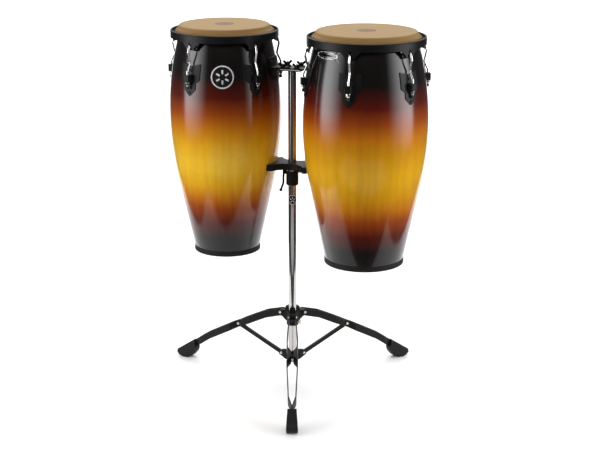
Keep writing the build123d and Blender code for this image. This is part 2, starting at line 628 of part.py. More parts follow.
def lug_outline():
    """The pointed outline of a lug plate, in width and height."""
    wide, narrow = LUG_PLATE_WIDE / 2, LUG_PLATE_NARROW / 2
    half = [
        (wide, -LUG_PLATE_TOP), (wide, -LUG_PLATE_STEP), (narrow, -LUG_PLATE_NECK),
        (narrow, -LUG_PLATE_SHOULDER), (2.0, -LUG_PLATE_TIP),
    ]
    points = [(0, -LUG_PLATE_TOP - LUG_PLATE_NOTCH), *half, *[(-y, z) for y, z in reversed(half)]]
    return make_face(Polyline(*points, close=True))


def make_lug(drum, skin):
    """A lug: its pointed plate, bent to the shell, and the block that the tuning rod passes through."""
    outline = extrude(Plane.YZ.offset(drum.rim - 60) * Pos(0, RIM_TOP) * lug_outline(), 120)
    plate = skin & outline
    x1 = drum.rim + ROD_STANDOFF + LUG_LIP
    lug = block(drum.rim - 20, x1, -LUG_WIDTH / 2, LUG_WIDTH / 2, RIM_TOP - LUG_BOTTOM, RIM_TOP - LUG_TOP)
    lug = fillet(lug.edges().filter_by(Axis.Z).group_by(Axis.X)[-1], 3)
    lug -= core(drum, SHEET_GAP)
    lug -= pillar(ROD_RADIUS + LUG_HOLE_GAP, RIM_TOP - 200, RIM_TOP, drum.rim + ROD_STANDOFF)
    return plate + lug


LUG_SCREW_DEPTHS = (106.0, 171.0)
BRACKET_SCREWS = ((-24.0, 90.0), (24.0, 90.0), (0.0, 141.0))


def screw_hole(drum, y, depth):
    """The hole of a screw through sheet and shell, at a sideways distance and a depth."""
    surface = sqrt(radius_at(drum, depth) ** 2 - y**2)
    return bar_x(SCREW_RADIUS + SLIDE_GAP, surface - 2 * SHELL_WALL, surface + 20, y, RIM_TOP - depth)


def shell_screw(drum, y, depth, sheet, inside):
    """A screw through sheet and shell: shank, a head bedded on the sheet, and a nut bedded inside."""
    surface = sqrt(radius_at(drum, depth) ** 2 - y**2)
    z = RIM_TOP - depth
    seat = surface + SHEET_GAP + SHEET_THICK
    shank = bar_x(SCREW_RADIUS, surface - SHELL_WALL - 7, seat + 1, y, z)
    head = bar_x(SCREW_HEAD_RADIUS, seat - 2, seat + SCREW_HEAD_HEIGHT, y, z)
    head = chamfer(head.faces().sort_by(Axis.X)[-1].edges(), 0.8)
    inner = surface - SHELL_WALL
    nut = bar_x(SCREW_HEAD_RADIUS, inner - SCREW_NUT_HEIGHT, inner + 2, y, z)
    return shank + (head - sheet) + (nut & inside)


def make_bracket(drum):
    """The hanging bracket: a rounded plate bent to the shell, and the slotted tongue that is clamped."""
    half = BRACKET_WIDTH / 2
    rise = BRACKET_BOTTOM - half
    outline = Rectangle(BRACKET_WIDTH, rise - BRACKET_TOP)
    outline = Pos(0, -(rise + BRACKET_TOP) / 2) * outline + Pos(0, -rise) * Circle(half)
    prism = extrude(Plane.YZ.offset(drum.rim - 60) * Pos(0, RIM_TOP) * outline, 120)
    plate = (core(drum, SHEET_GAP + SHEET_THICK) - core(drum, SHEET_GAP)) & prism
    distance = REACH + radius_at(drum, TONGUE_DROP)
    half = TONGUE_WIDTH / 2
    inner = distance - TONGUE_END
    tongue = block(drum.belly - 35, inner, -half, half, PLATE_TOP, PLATE_TOP + TONGUE_THICK)
    tongue = fillet(tongue.edges().filter_by(Axis.Z).group_by(Axis.X)[-1], 5)
    tongue -= core(drum, SHEET_GAP)
    for y in (-STUD_Y, STUD_Y):
        end = distance - STUD_X
        slot = block(end, inner + 5, y - STUD_RADIUS - 1, y + STUD_RADIUS + 1, PLATE_TOP - 5, PLATE_TOP + 10)
        tongue -= slot + pillar(STUD_RADIUS + 1, PLATE_TOP - 5, PLATE_TOP + 10, end, y)
    bracket = plate + tongue
    return bracket - [screw_hole(drum, y, depth) for y, depth in BRACKET_SCREWS]


def make_guard(drum):
    """The band that protects the bottom edge of a shell."""
    low, high = RIM_TOP - FOOT_DEPTH, RIM_TOP - FOOT_DEPTH + GUARD_HEIGHT
    ring = pillar(drum.foot + GUARD_THICK + 1.5, low, high)
    ring = fillet(ring.edges().filter_by(GeomType.CIRCLE), 1.2)
    return ring - core(drum, 0.05) - pillar(drum.foot, low - 1, low + 0.05)


def make_badge(drum):
    """The badge on a shell: a thin oval plate that follows the wood."""
    width, height, depth = drum.badge
    outline = Pos(0, RIM_TOP - depth) * Ellipse(width / 2, height / 2)
    prism = extrude(Plane.YZ.offset(drum.rim - 60) * outline, 120)
    plate = (core(drum, SHEET_GAP / 3 + BADGE_THICK) - core(drum, SHEET_GAP / 3)) & prism
    return Rot(0, 0, bracket_angle(drum) + drum.badge_step * 360.0 / drum.lugs) * plate


def add_drum(drum):
    """Every piece of one drum, moved out to where it hangs."""
    x, y = centre(drum)
    place = Pos(x, y, 0)
    turned = [Rot(0, 0, a) for a in lug_angles(drum)]
    bracket_turn = Rot(0, 0, bracket_angle(drum))
    holes = [t * screw_hole(drum, 0, d) for t in turned for d in LUG_SCREW_DEPTHS]
    holes += [bracket_turn * screw_hole(drum, sy, d) for sy, d in BRACKET_SCREWS]
    bed = core(drum, SHEET_GAP + SHEET_THICK + 0.03)
    inside = core(drum, -SHELL_WALL - 0.03)
    screws = [t * shell_screw(drum, 0, d, bed, inside) for d in LUG_SCREW_DEPTHS for t in turned]
    screws += [bracket_turn * shell_screw(drum, sy, d, bed, inside) for sy, d in BRACKET_SCREWS]
    sheet = core(drum, SHEET_GAP + SHEET_THICK) - core(drum, SHEET_GAP)
    lug = make_lug(drum, sheet) - [screw_hole(drum, 0, d) for d in LUG_SCREW_DEPTHS]
    side = drum.name
    nodes[f"shell_{side}"] = place * make_shell(drum, holes)
    nodes[f"head_{side}"] = place * make_head(drum)
    nodes[f"flesh_hoop_{side}"] = place * make_hoop(drum)
    nodes[f"rim_{side}"] = place * make_rim(drum)
    nodes[f"lugs_{side}"] = place * around(lug, lug_angles(drum))
    nodes[f"shell_screws_{side}"] = place * Compound([s for p in screws for s in p.solids()])
    nodes[f"tuning_rods_{side}"] = place * make_rods(drum)
    for k, angle in enumerate(lug_angles(drum), 1):
        nodes[f"tuning_nut_{side}_{k}"] = place * make_tuning_nut(drum, angle)
    nodes[f"hanging_bracket_{side}"] = place * (bracket_turn * make_bracket(drum))
    nodes[f"guard_band_{side}"] = place * make_guard(drum)
    nodes[f"badge_{side}"] = place * make_badge(drum)


# ---------------------------------------------------------------- cradle and clamp
def drum_space(grow):
    """The room that both shells take, grown by a distance."""
    solids = []
    for drum in DRUMS:
        x, y = centre(drum)
        solids.append(Pos(x, y, 0) * core(drum, grow))
    return solids


CRADLE_BOTTOM = CRADLE_TOP - CRADLE_HEIGHT
COLLAR_TOP = CRADLE_BOTTOM - COLLAR_GAP
COLLAR_BOTTOM = COLLAR_TOP - COLLAR_HEIGHT
CLAMP_Z = COLLAR_TOP - JAW_HEIGHT / 2 + 2
WAIST_CUT = 48.0              # radius of the hollows in front of and behind the cradle's body


def cradle_blank():
    """The bow-tie outline of cradle and pads, before the shells are taken out of it."""
    half = CRADLE_HALF_DEPTH
    face = Rectangle(2 * (REACH + 20), 2 * half)
    for side in (-1, 1):
        face -= Pos(0, side * (CRADLE_BODY + WAIST_CUT)) * Ellipse(WAIST_CUT + 4, WAIST_CUT)
    blank = Pos(0, 0, CRADLE_BOTTOM) * extrude(face, CRADLE_HEIGHT)
    return Rot(0, 0, HANG_ANGLE) * blank


def cradle_screw(angle, grow=0.0):
    """One of the screws that tie the cradle to the clamp collar."""
    x, y = CRADLE_SCREW_CIRCLE * cos(radians(angle)), CRADLE_SCREW_CIRCLE * sin(radians(angle))
    screw = pillar(CRADLE_SCREW_RADIUS + grow, COLLAR_TOP - 9, CRADLE_BOTTOM + 9, x, y)
    if not grow:
        screw += pillar(CRADLE_SCREW_RADIUS + 0.9, COLLAR_TOP + 1.0, CRADLE_BOTTOM - 1.0, x, y)
    return screw


SCREW_ANGLES = [30 + k * 360 / CRADLE_SCREWS for k in range(CRADLE_SCREWS)]


def make_cradle():
    """The casting on the pole that steadies the bellies of both drums."""
    cradle = cradle_blank()
    for space in drum_space(PAD_GAP + PAD_THICK):
        cradle -= space
    cradle = max(cradle.solids(), key=lambda s: s.volume)
    cradle -= pillar(POLE_RADIUS + SLIDE_GAP, 0, RIM_TOP)
    for angle in SCREW_ANGLES:
        cradle -= cradle_screw(angle, PIN_GAP)
    return cradle


def make_pads():
    """The two rubber pads between cradle and shells."""
    blank = Rot(0, 0, HANG_ANGLE) * block(
        -REACH - 16, REACH + 16, -CRADLE_HALF_DEPTH + 1, CRADLE_HALF_DEPTH - 1, CRADLE_BOTTOM + 1, CRADLE_TOP - 1
    )
    solids = []
    for outer, inner in zip(drum_space(PAD_GAP + PAD_THICK), drum_space(PAD_GAP)):
        pad = (outer - inner) & blank
        solids += [s for s in pad.solids() if hypot(*tuple(s.center())[:2]) < 3 * REACH]
    return Compound(solids)


def make_clamp_collar():
    """The split collar under the cradle, with the two jaws that the lever draws together."""
    collar = pillar(COLLAR_RADIUS, COLLAR_BOTTOM, COLLAR_TOP)
    collar = fillet(collar.edges().filter_by(GeomType.CIRCLE).sort_by(Axis.Z)[0], 5)
    jaw = block(-JAW_WIDTH / 2, JAW_WIDTH / 2, 0, JAW_DEPTH, CLAMP_Z - JAW_HEIGHT / 2, CLAMP_Z + JAW_HEIGHT / 2 - 3)
    jaw = fillet(jaw.edges().filter_by(Axis.X), 5)
    collar += jaw
    collar -= pillar(POLE_RADIUS + SLIDE_GAP, 0, RIM_TOP)
    collar -= block(-COLLAR_SLIT / 2, COLLAR_SLIT / 2, POLE_RADIUS - 3, JAW_DEPTH + 5, 0, RIM_TOP)
    collar -= bar_x(CLAMP_BOLT_RADIUS, -40, 40, CLAMP_BOLT_Y, CLAMP_Z)
    for angle in SCREW_ANGLES:
        collar -= cradle_screw(angle, PIN_GAP)
    return collar


def make_cradle_fasteners():
    """The cradle's screws, and the clamp's cross bolt with its nut."""
    bolt = bar_x(CLAMP_BOLT_RADIUS, -CLAMP_BOLT_LEFT, CLAMP_BOLT_RIGHT, CLAMP_BOLT_Y, CLAMP_Z)
    nut = Rot(0, 90, 0) * extrude(RegularPolygon(5.6, 6), 5)
    bolt += Pos(JAW_WIDTH / 2 + 0.1, CLAMP_BOLT_Y, CLAMP_Z) * nut
    solids = [*bolt.solids()]
    for angle in SCREW_ANGLES:
        solids += cradle_screw(angle).solids()
    return Compound(solids)


def make_lever():
    """The clamp's hanging lever: boss, curved arm and ball."""
    right = -JAW_WIDTH / 2 - FACE_GAP
    left = right - LEVER_BOSS_LENGTH
    boss = bar_x(LEVER_BOSS_RADIUS, left, right, CLAMP_BOLT_Y, CLAMP_Z)
    boss = fillet(boss.edges().filter_by(GeomType.CIRCLE).sort_by(Axis.X)[0], 2)
    x, y, z = left + 3.5, CLAMP_BOLT_Y, CLAMP_Z
    arm = FilletPolyline(
        (x, z - 2), (x - 1, z - 16), (x - 1, z - 34), (x - LEVER_SWEEP, z - LEVER_DROP), radius=30,
    )
    path = Pos(0, y, 0) * (Plane.XZ * arm)
    rod = sweep(Plane(origin=path @ 0, z_dir=path % 0) * Circle(LEVER_ROD), path)
    ball = Pos(*(path @ 1)) * Sphere(LEVER_BALL)
    lever = boss + rod + ball
    lever -= bar_x(CLAMP_BOLT_RADIUS + PIN_GAP, -CLAMP_BOLT_LEFT - 0.5, right + 1, y, z)
    return lever


# ---------------------------------------------------------------- the whole object
def build():
    """Fills nodes with every sub-part, and moves the lot so that its box is centred on the origin."""
    nodes["pole"] = make_pole()
    nodes["top_plate"] = make_top_plate()
    nodes["plate_fasteners"] = make_plate_fasteners()
    for side, x in (("left", -STUD_X), ("right", STUD_X)):
        for place, y in (("front", -STUD_Y), ("back", STUD_Y)):
            nodes[f"wing_nut_{side}_{place}"] = make_wing_nut(x, y)
    nodes["hub"] = make_hub()
    nodes["hub_rivets"] = make_hub_rivets()
    nodes["hub_thumb_screw"] = make_hub_screw()
    nodes["lower_collar"] = make_lower_collar()
    nodes["lower_rivets"] = make_lower_rivets()
    leg = make_leg()
    brace = make_brace()
    foot = make_foot(leg)
    mid = rivet(PINCH + STRIP_THICK / 2, MID_RADIUS, MID_Z)
    for name, angle in zip(LEG_NAMES, LEG_ANGLES):
        nodes[f"leg_{name}"] = leg_angle_plane(leg, angle)
        nodes[f"brace_{name}"] = leg_angle_plane(brace, angle)
        nodes[f"foot_{name}"] = leg_angle_plane(foot, angle)
        nodes[f"mid_rivet_{name}"] = leg_angle_plane(mid, angle)
    nodes["cradle"] = make_cradle()
    nodes["cradle_pads"] = make_pads()
    nodes["clamp_collar"] = make_clamp_collar()
    nodes["cradle_fasteners"] = make_cradle_fasteners()
    nodes["clamp_lever"] = make_lever()
    for drum in DRUMS:
        add_drum(drum)
    box = Compound([s for p in nodes.values() for s in p.solids()]).bounding_box()
    shift = Pos(-(box.min.X + box.max.X) / 2, -(box.min.Y + box.max.Y) / 2, 0)
    for name, shape in nodes.items():
        nodes[name] = shift * Compound(list(shape.solids()))
    return shift


POLE_PLACE = build()
os.makedirs("parts", exist_ok=True)
for name, shape in nodes.items():
    export_step(shape, f"parts/{name}.step")
print(len(nodes), "nodes; pole at", POLE_PLACE.position)
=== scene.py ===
"""The looks of two congas with a sunburst lacquer, hung on a chromed and black tripod stand.

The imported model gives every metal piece. This script dresses those pieces, and models the shells, skins,
badges and decal, which need closer shaping than the solids have.
"""

from __future__ import annotations

import json
import logging
import math
from dataclasses import dataclass, field
from enum import Enum
from typing import Callable, Sequence

import bpy
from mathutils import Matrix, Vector

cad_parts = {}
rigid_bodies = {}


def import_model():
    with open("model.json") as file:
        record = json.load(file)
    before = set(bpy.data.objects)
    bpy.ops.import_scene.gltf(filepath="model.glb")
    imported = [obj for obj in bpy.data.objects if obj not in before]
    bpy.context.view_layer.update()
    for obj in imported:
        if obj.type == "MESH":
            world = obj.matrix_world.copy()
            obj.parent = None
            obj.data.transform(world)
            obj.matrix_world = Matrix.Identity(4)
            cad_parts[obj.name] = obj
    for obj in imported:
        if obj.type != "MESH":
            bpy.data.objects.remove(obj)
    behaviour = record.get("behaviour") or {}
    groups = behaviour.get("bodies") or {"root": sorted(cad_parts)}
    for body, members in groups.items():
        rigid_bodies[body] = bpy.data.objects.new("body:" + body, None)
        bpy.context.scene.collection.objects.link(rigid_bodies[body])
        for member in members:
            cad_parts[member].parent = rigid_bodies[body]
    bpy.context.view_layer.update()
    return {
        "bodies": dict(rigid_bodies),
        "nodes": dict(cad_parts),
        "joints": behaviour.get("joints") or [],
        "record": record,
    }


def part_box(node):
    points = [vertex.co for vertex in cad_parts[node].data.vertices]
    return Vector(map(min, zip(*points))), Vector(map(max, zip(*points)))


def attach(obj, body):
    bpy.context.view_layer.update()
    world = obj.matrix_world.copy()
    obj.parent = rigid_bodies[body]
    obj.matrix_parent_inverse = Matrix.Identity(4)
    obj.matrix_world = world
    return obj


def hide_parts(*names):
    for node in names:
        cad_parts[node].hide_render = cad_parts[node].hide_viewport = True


LOG = logging.getLogger("congas")
MM = 0.001
POLE_RADIUS = 12.7 * MM

# Heights of a flat badge's layers above its seat, in metres, before it is bent
PLATE_TOP = 0.6 * MM
BAR_FOOT = 0.5 * MM
TRIM_TOP = 0.9 * MM
EDGE_EASE = 0.1 * MM
PLATE_SHARE = 0.985

# A shell's face looks inwards, and stays bare, below this share of the outward direction
INWARD = -0.3

Colour = tuple[float, float, float, float]


class Side(Enum):
    """The side of the pole that a drum hangs on."""

    LEFT = "left"
    RIGHT = "right"


# ---------------------------------------------------------------- shader groups
class GroupBuilder:
    """A shader node group under construction, with named inputs and outputs."""

    def __init__(self, name: str, inputs: dict[str, object], outputs: dict[str, str]) -> None:
        """Starts an empty group.

        Args:
            name: The group's name.
            inputs: Socket name to its default; a number makes a value socket, None a vector socket.
            outputs: Socket name to NodeSocketFloat or NodeSocketColor.
        """
        self.tree = bpy.data.node_groups.new(name, "ShaderNodeTree")
        for socket, value in inputs.items():
            kind = "NodeSocketVector" if value is None else "NodeSocketFloat"
            made = self.tree.interface.new_socket(name=socket, in_out="INPUT", socket_type=kind)
            if value is not None:
                made.default_value = value
        for socket, kind in outputs.items():
            self.tree.interface.new_socket(name=socket, in_out="OUTPUT", socket_type=kind)
        self.inputs = self.tree.nodes.new("NodeGroupInput")
        self.outputs = self.tree.nodes.new("NodeGroupOutput")

    def node(self, kind: str, **settings: object) -> bpy.types.Node:
        """Adds a node and sets its properties."""
        made = self.tree.nodes.new(kind)
        for key, value in settings.items():
            setattr(made, key, value)
        return made

    def link(self, source: bpy.types.NodeSocket, target: bpy.types.NodeSocket) -> None:
        """Joins two sockets."""
        self.tree.links.new(source, target)

    def maths(self, operation: str, *values: object, clamp: bool = False) -> bpy.types.NodeSocket:
        """Adds a Math node.

        Args:
            operation: The Math node's operation.
            values: Numbers or sockets, in order.
            clamp: Whether the result stays between 0 and 1.

        Returns:
            The node's output socket.
        """
        made = self.node("ShaderNodeMath", operation=operation, use_clamp=clamp)
        for socket, value in zip(made.inputs, values):
            if isinstance(value, bpy.types.NodeSocket):
                self.link(value, socket)
            else:
                socket.default_value = value
        return made.outputs[0]

    def noise(
        self, vector: bpy.types.NodeSocket, scale: object, detail: float, rough: float = 0.55
    ) -> bpy.types.NodeSocket:
        """Adds a noise texture and returns its value socket."""
        made = self.node("ShaderNodeTexNoise")
        made.inputs["Detail"].default_value = detail
        made.inputs["Roughness"].default_value = rough
        self.link(vector, made.inputs["Vector"])
        if isinstance(scale, bpy.types.NodeSocket):
            self.link(scale, made.inputs["Scale"])
        else:
            made.inputs["Scale"].default_value = scale
        return made.outputs["Fac"]

    def stretch(self, vector: bpy.types.NodeSocket, scale: Sequence[float]) -> bpy.types.NodeSocket:
        """Scales a vector by three numbers."""
        made = self.node("ShaderNodeMapping")
        made.inputs["Scale"].default_value = scale
        self.link(vector, made.inputs["Vector"])
        return made.outputs["Vector"]


def powder_group() -> bpy.types.NodeTree:
    """Builds the skin of baked powder paint: fine orange peel with a slow unevenness under it."""
    g = GroupBuilder(
        "powder_paint_skin",
        {"Vector": None, "Scale": 900.0, "Unevenness": 25.0},
        {"Height": "NodeSocketFloat", "Patch": "NodeSocketFloat"},
    )
    fine = g.noise(g.inputs.outputs["Vector"], g.inputs.outputs["Scale"], 2.0)
    slow = g.noise(g.inputs.outputs["Vector"], g.inputs.outputs["Unevenness"], 4.0)
    height = g.maths("ADD", g.maths("MULTIPLY", fine, 0.6), g.maths("MULTIPLY", slow, 0.4))
    g.link(height, g.outputs.inputs["Height"])
    g.link(g.maths("SUBTRACT", slow, 0.5), g.outputs.inputs["Patch"])
    return g.tree


def dust_group() -> bpy.types.NodeTree:
    """Builds the thin dust that settles on faces that look up."""
    g = GroupBuilder(
        "settled_dust",
        {"Vector": None, "Amount": 0.3, "Scale": 60.0},
        {"Mask": "NodeSocketFloat"},
    )
    normal = g.node("ShaderNodeNewGeometry")
    parts = g.node("ShaderNodeSeparateXYZ")
    g.link(normal.outputs["Normal"], parts.inputs[0])
    up = g.maths("POWER", g.maths("MAXIMUM", parts.outputs["Z"], 0.0), 3.0)
    cloud = g.noise(g.inputs.outputs["Vector"], g.inputs.outputs["Scale"], 6.0, 0.7)
    patch = g.maths("MULTIPLY", g.maths("SUBTRACT", cloud, 0.35), 2.2, clamp=True)
    mask = g.maths("MULTIPLY", g.maths("MULTIPLY", up, patch), g.inputs.outputs["Amount"], clamp=True)
    g.link(mask, g.outputs.inputs["Mask"])
    return g.tree


def scratch_group() -> bpy.types.NodeTree:
    """Builds fine hairlines and soft smudges, as handling leaves them on polished metal and lacquer."""
    g = GroupBuilder(
        "handling_marks",
        {"Vector": None, "Hairlines": 420.0, "Smudges": 18.0},
        {"Lines": "NodeSocketFloat", "Smudge": "NodeSocketFloat"},
    )
    thin = g.stretch(g.inputs.outputs["Vector"], (1.0, 1.0, 0.04))
    lines = g.noise(thin, g.inputs.outputs["Hairlines"], 3.0, 0.7)
    smudge = g.noise(g.inputs.outputs["Vector"], g.inputs.outputs["Smudges"], 5.0, 0.62)
    g.link(g.maths("SUBTRACT", lines, 0.5), g.outputs.inputs["Lines"])
    g.link(g.maths("SUBTRACT", smudge, 0.42), g.outputs.inputs["Smudge"])
    return g.tree


def timber_group() -> bpy.types.NodeTree:
    """Builds upright timber: long figure, short pores and the shade of each stave round the barrel."""
    g = GroupBuilder(
        "barrel_timber",
        {"Vector": None, "Staves": 18.0, "Wander": 0.02},
        {"Figure": "NodeSocketFloat", "Pores": "NodeSocketFloat", "Stave": "NodeSocketFloat",
         "Joint": "NodeSocketFloat"},
    )
    vector = g.inputs.outputs["Vector"]
    long_grain = g.noise(g.stretch(vector, (34.0, 34.0, 1.6)), 1.0, 7.0, 0.6)
    flame = g.node("ShaderNodeTexWave", wave_type="BANDS", bands_direction="X")
    flame.inputs["Scale"].default_value = 5.0
    flame.inputs["Distortion"].default_value = 9.0
    flame.inputs["Detail"].default_value = 4.0
    flame.inputs["Detail Scale"].default_value = 1.4
    g.link(g.stretch(vector, (2.2, 2.2, 0.22)), flame.inputs["Vector"])
    flames = g.maths("MULTIPLY", flame.outputs["Fac"], 0.3)
    figure = g.maths("ADD", g.maths("MULTIPLY", long_grain, 0.7), flames)
    pores = g.noise(g.stretch(vector, (520.0, 520.0, 22.0)), 1.0, 2.0, 0.5)
    parts = g.node("ShaderNodeSeparateXYZ")
    g.link(vector, parts.inputs[0])
    angle = g.maths("ARCTAN2", parts.outputs["Y"], parts.outputs["X"])
    turn = g.maths("ADD", g.maths("DIVIDE", angle, 2 * math.pi), 0.5)
    step = g.maths("MULTIPLY", turn, g.inputs.outputs["Staves"])
    wander = g.maths("MULTIPLY", g.maths("SUBTRACT", long_grain, 0.5), g.inputs.outputs["Wander"])
    step = g.maths("ADD", step, wander)
    shade = g.node("ShaderNodeTexWhiteNoise", noise_dimensions="1D")
    g.link(g.maths("FLOOR", step), shade.inputs["W"])
    edge = g.maths("ABSOLUTE", g.maths("SUBTRACT", g.maths("FRACT", step), 0.5))
    joint = g.maths("MULTIPLY", g.maths("SUBTRACT", edge, 0.488), 80.0, clamp=True)
    g.link(figure, g.outputs.inputs["Figure"])
    g.link(pores, g.outputs.inputs["Pores"])
    g.link(shade.outputs["Value"], g.outputs.inputs["Stave"])
    g.link(joint, g.outputs.inputs["Joint"])
    return g.tree


# ---------------------------------------------------------------- materials
class Recipe:
    """A node material under construction."""

    def __init__(self, name: str) -> None:
        """Starts a material with a Principled shader and Object coordinates."""
        self.material = bpy.data.materials.new(name)
        self.material.use_nodes = True
        self.nodes = self.material.node_tree.nodes
        self.links = self.material.node_tree.links
        self.shader = next(n for n in self.nodes if n.type == "BSDF_PRINCIPLED")
        self.place = self.nodes.new("ShaderNodeTexCoord").outputs["Object"]

    def set(self, **values: object) -> None:
        """Sets constants on the shader's own sockets; an underscore stands for a space."""
        for key, value in values.items():
            self.shader.inputs[key.replace("_", " ")].default_value = value

    def feed(self, socket: str, source: bpy.types.NodeSocket) -> None:
        """Joins a socket to one of the shader's inputs."""
        self.links.new(source, self.shader.inputs[socket])

    def centred(self, x: float, y: float) -> bpy.types.NodeSocket:
        """Returns Object coordinates measured from an upright axis."""
        made = self.nodes.new("ShaderNodeMapping")
        made.inputs["Location"].default_value = (-x, -y, 0.0)
        self.links.new(self.place, made.inputs["Vector"])
        return made.outputs["Vector"]

    def group(self, name: str, vector: bpy.types.NodeSocket, **values: float) -> bpy.types.Node:
        """Places a shared group with its own values.

        Args:
            name: The group's name.
            vector: What its Vector input reads.
            values: Its other inputs.

        Returns:
            The group node.
        """
        made = self.nodes.new("ShaderNodeGroup")
        made.node_tree = bpy.data.node_groups[name]
        self.links.new(vector, made.inputs["Vector"])
        for key, value in values.items():
            made.inputs[key].default_value = value
        return made

    def maths(self, operation: str, *values: object, clamp: bool = False) -> bpy.types.NodeSocket:
        """Adds a Math node and returns its output."""
        made = self.nodes.new("ShaderNodeMath")
        made.operation = operation
        made.use_clamp = clamp
        for socket, value in zip(made.inputs, values):
            if isinstance(value, bpy.types.NodeSocket):
                self.links.new(value, socket)
            else:
                socket.default_value = value
        return made.outputs[0]

    def blend(self, share: object, low: object, high: object, mode: str = "MIX") -> bpy.types.NodeSocket:
        """Mixes two colours, each a socket or a colour, and returns the result."""
        made = self.nodes.new("ShaderNodeMix")
        made.data_type = "RGBA"
        made.blend_type = mode
        for socket, value in zip((made.inputs[0], made.inputs[6], made.inputs[7]), (share, low, high)):
            if isinstance(value, bpy.types.NodeSocket):
                self.links.new(value, socket)
            else:
                socket.default_value = value
        return made.outputs[2]

    def ramp(
        self, share: bpy.types.NodeSocket, stops: Sequence[tuple[float, Colour]]
    ) -> bpy.types.NodeSocket:
        """Adds a colour ramp with the given stops and returns its colour."""
        made = self.nodes.new("ShaderNodeValToRGB")
        made.color_ramp.interpolation = "LINEAR"
        elements = made.color_ramp.elements
        while len(elements) < len(stops):
            elements.new(0.5)
        for element, (position, colour) in zip(elements, stops):
            element.position = position
            element.color = colour
        self.links.new(share, made.inputs["Fac"])
        return made.outputs["Color"]

    def fade(self, value: bpy.types.NodeSocket, start: float, end: float) -> bpy.types.NodeSocket:
        """Returns 1 below start and 0 above end, with a soft passage between them."""
        made = self.nodes.new("ShaderNodeMapRange")
        made.interpolation_type = "SMOOTHSTEP"
        for socket, number in zip(("From Min", "From Max", "To Min", "To Max"), (start, end, 1.0, 0.0)):
            made.inputs[socket].default_value = number
        self.links.new(value, made.inputs["Value"])
        return made.outputs[0]

    def noise(
        self, vector: bpy.types.NodeSocket, scale: float, detail: float, rough: float = 0.5
    ) -> bpy.types.NodeSocket:
        """Adds a noise texture and returns its value."""
        made = self.nodes.new("ShaderNodeTexNoise")
        made.inputs["Scale"].default_value = scale
        made.inputs["Detail"].default_value = detail
        made.inputs["Roughness"].default_value = rough
        self.links.new(vector, made.inputs["Vector"])
        return made.outputs["Fac"]

    def height(self, vector: bpy.types.NodeSocket) -> bpy.types.NodeSocket:
        """Returns the Z of a vector."""
        made = self.nodes.new("ShaderNodeSeparateXYZ")
        self.links.new(vector, made.inputs[0])
        return made.outputs["Z"]

    def bump(self, height: bpy.types.NodeSocket, strength: float, distance: float) -> None:
        """Feeds the shader's normal from a height."""
        made = self.nodes.new("ShaderNodeBump")
        made.inputs["Strength"].default_value = strength
        made.inputs["Distance"].default_value = distance
        self.links.new(height, made.inputs["Height"])
        self.feed("Normal", made.outputs["Normal"])


@dataclass(frozen=True)
class PowderPaint:
    """Black powder paint over steel or a casting."""

    name: str
    colour: Colour = (0.0065, 0.006, 0.0065, 1)
    roughness: float = 0.36
    peel: float = 900.0
    dust: float = 0.05

    def make(self) -> bpy.types.Material:
        """Builds the material."""
        r = Recipe(self.name)
        skin = r.group("powder_paint_skin", r.place, Scale=self.peel)
        dust = r.group("settled_dust", r.place, Amount=self.dust)
        tone = r.maths("MULTIPLY_ADD", skin.outputs["Patch"], 0.5, 1.0)
        colour = r.blend(1.0, self.colour, r.blend(1.0, (1, 1, 1, 1), tone, "MULTIPLY"), "MULTIPLY")
        r.feed("Base Color", r.blend(dust.outputs["Mask"], colour, (0.25, 0.24, 0.22, 1)))
        rough = r.maths("MULTIPLY_ADD", skin.outputs["Patch"], 0.25, self.roughness)
        r.feed("Roughness", r.maths("ADD", rough, dust.outputs["Mask"], clamp=True))
        r.bump(skin.outputs["Height"], 0.18, 0.0004)
        r.set(Specular_IOR_Level=0.16)
        return r.material


@dataclass(frozen=True)
class PolishedMetal:
    """Plated and polished metal with the marks of handling."""

    name: str
    colour: Colour = (0.78, 0.78, 0.79, 1)
    tarnish: Colour = (0.6, 0.59, 0.57, 1)
    roughness: float = 0.07
    marks: float = 0.05
    cap_height: float = 0.0
    cap_colour: Colour = (0.012, 0.012, 0.012, 1)
    metallic: float = 1.0

    def make(self) -> bpy.types.Material:
        """Builds the material; below cap_height it turns into the rubber of a rod's end cap."""
        r = Recipe(self.name)
        marks = r.group("handling_marks", r.place)
        smudge = r.maths("MULTIPLY", marks.outputs["Smudge"], 2.0, clamp=True)
        colour = r.blend(smudge, self.colour, self.tarnish)
        rough = r.maths("MULTIPLY_ADD", marks.outputs["Lines"], self.marks, self.roughness)
        rough = r.maths("MULTIPLY_ADD", smudge, self.marks * 1.5, rough)
        if self.cap_height:
            cap = r.maths("LESS_THAN", r.height(r.place), self.cap_height)
            colour = r.blend(cap, colour, self.cap_colour)
            rough = r.maths("MAXIMUM", rough, r.maths("MULTIPLY", cap, 0.55))
            r.feed("Metallic", r.maths("SUBTRACT", 1.0, cap))
        else:
            r.set(Metallic=self.metallic)
        r.feed("Base Color", colour)
        r.feed("Roughness", rough)
        r.bump(marks.outputs["Lines"], 0.04, 0.0001)
        return r.material


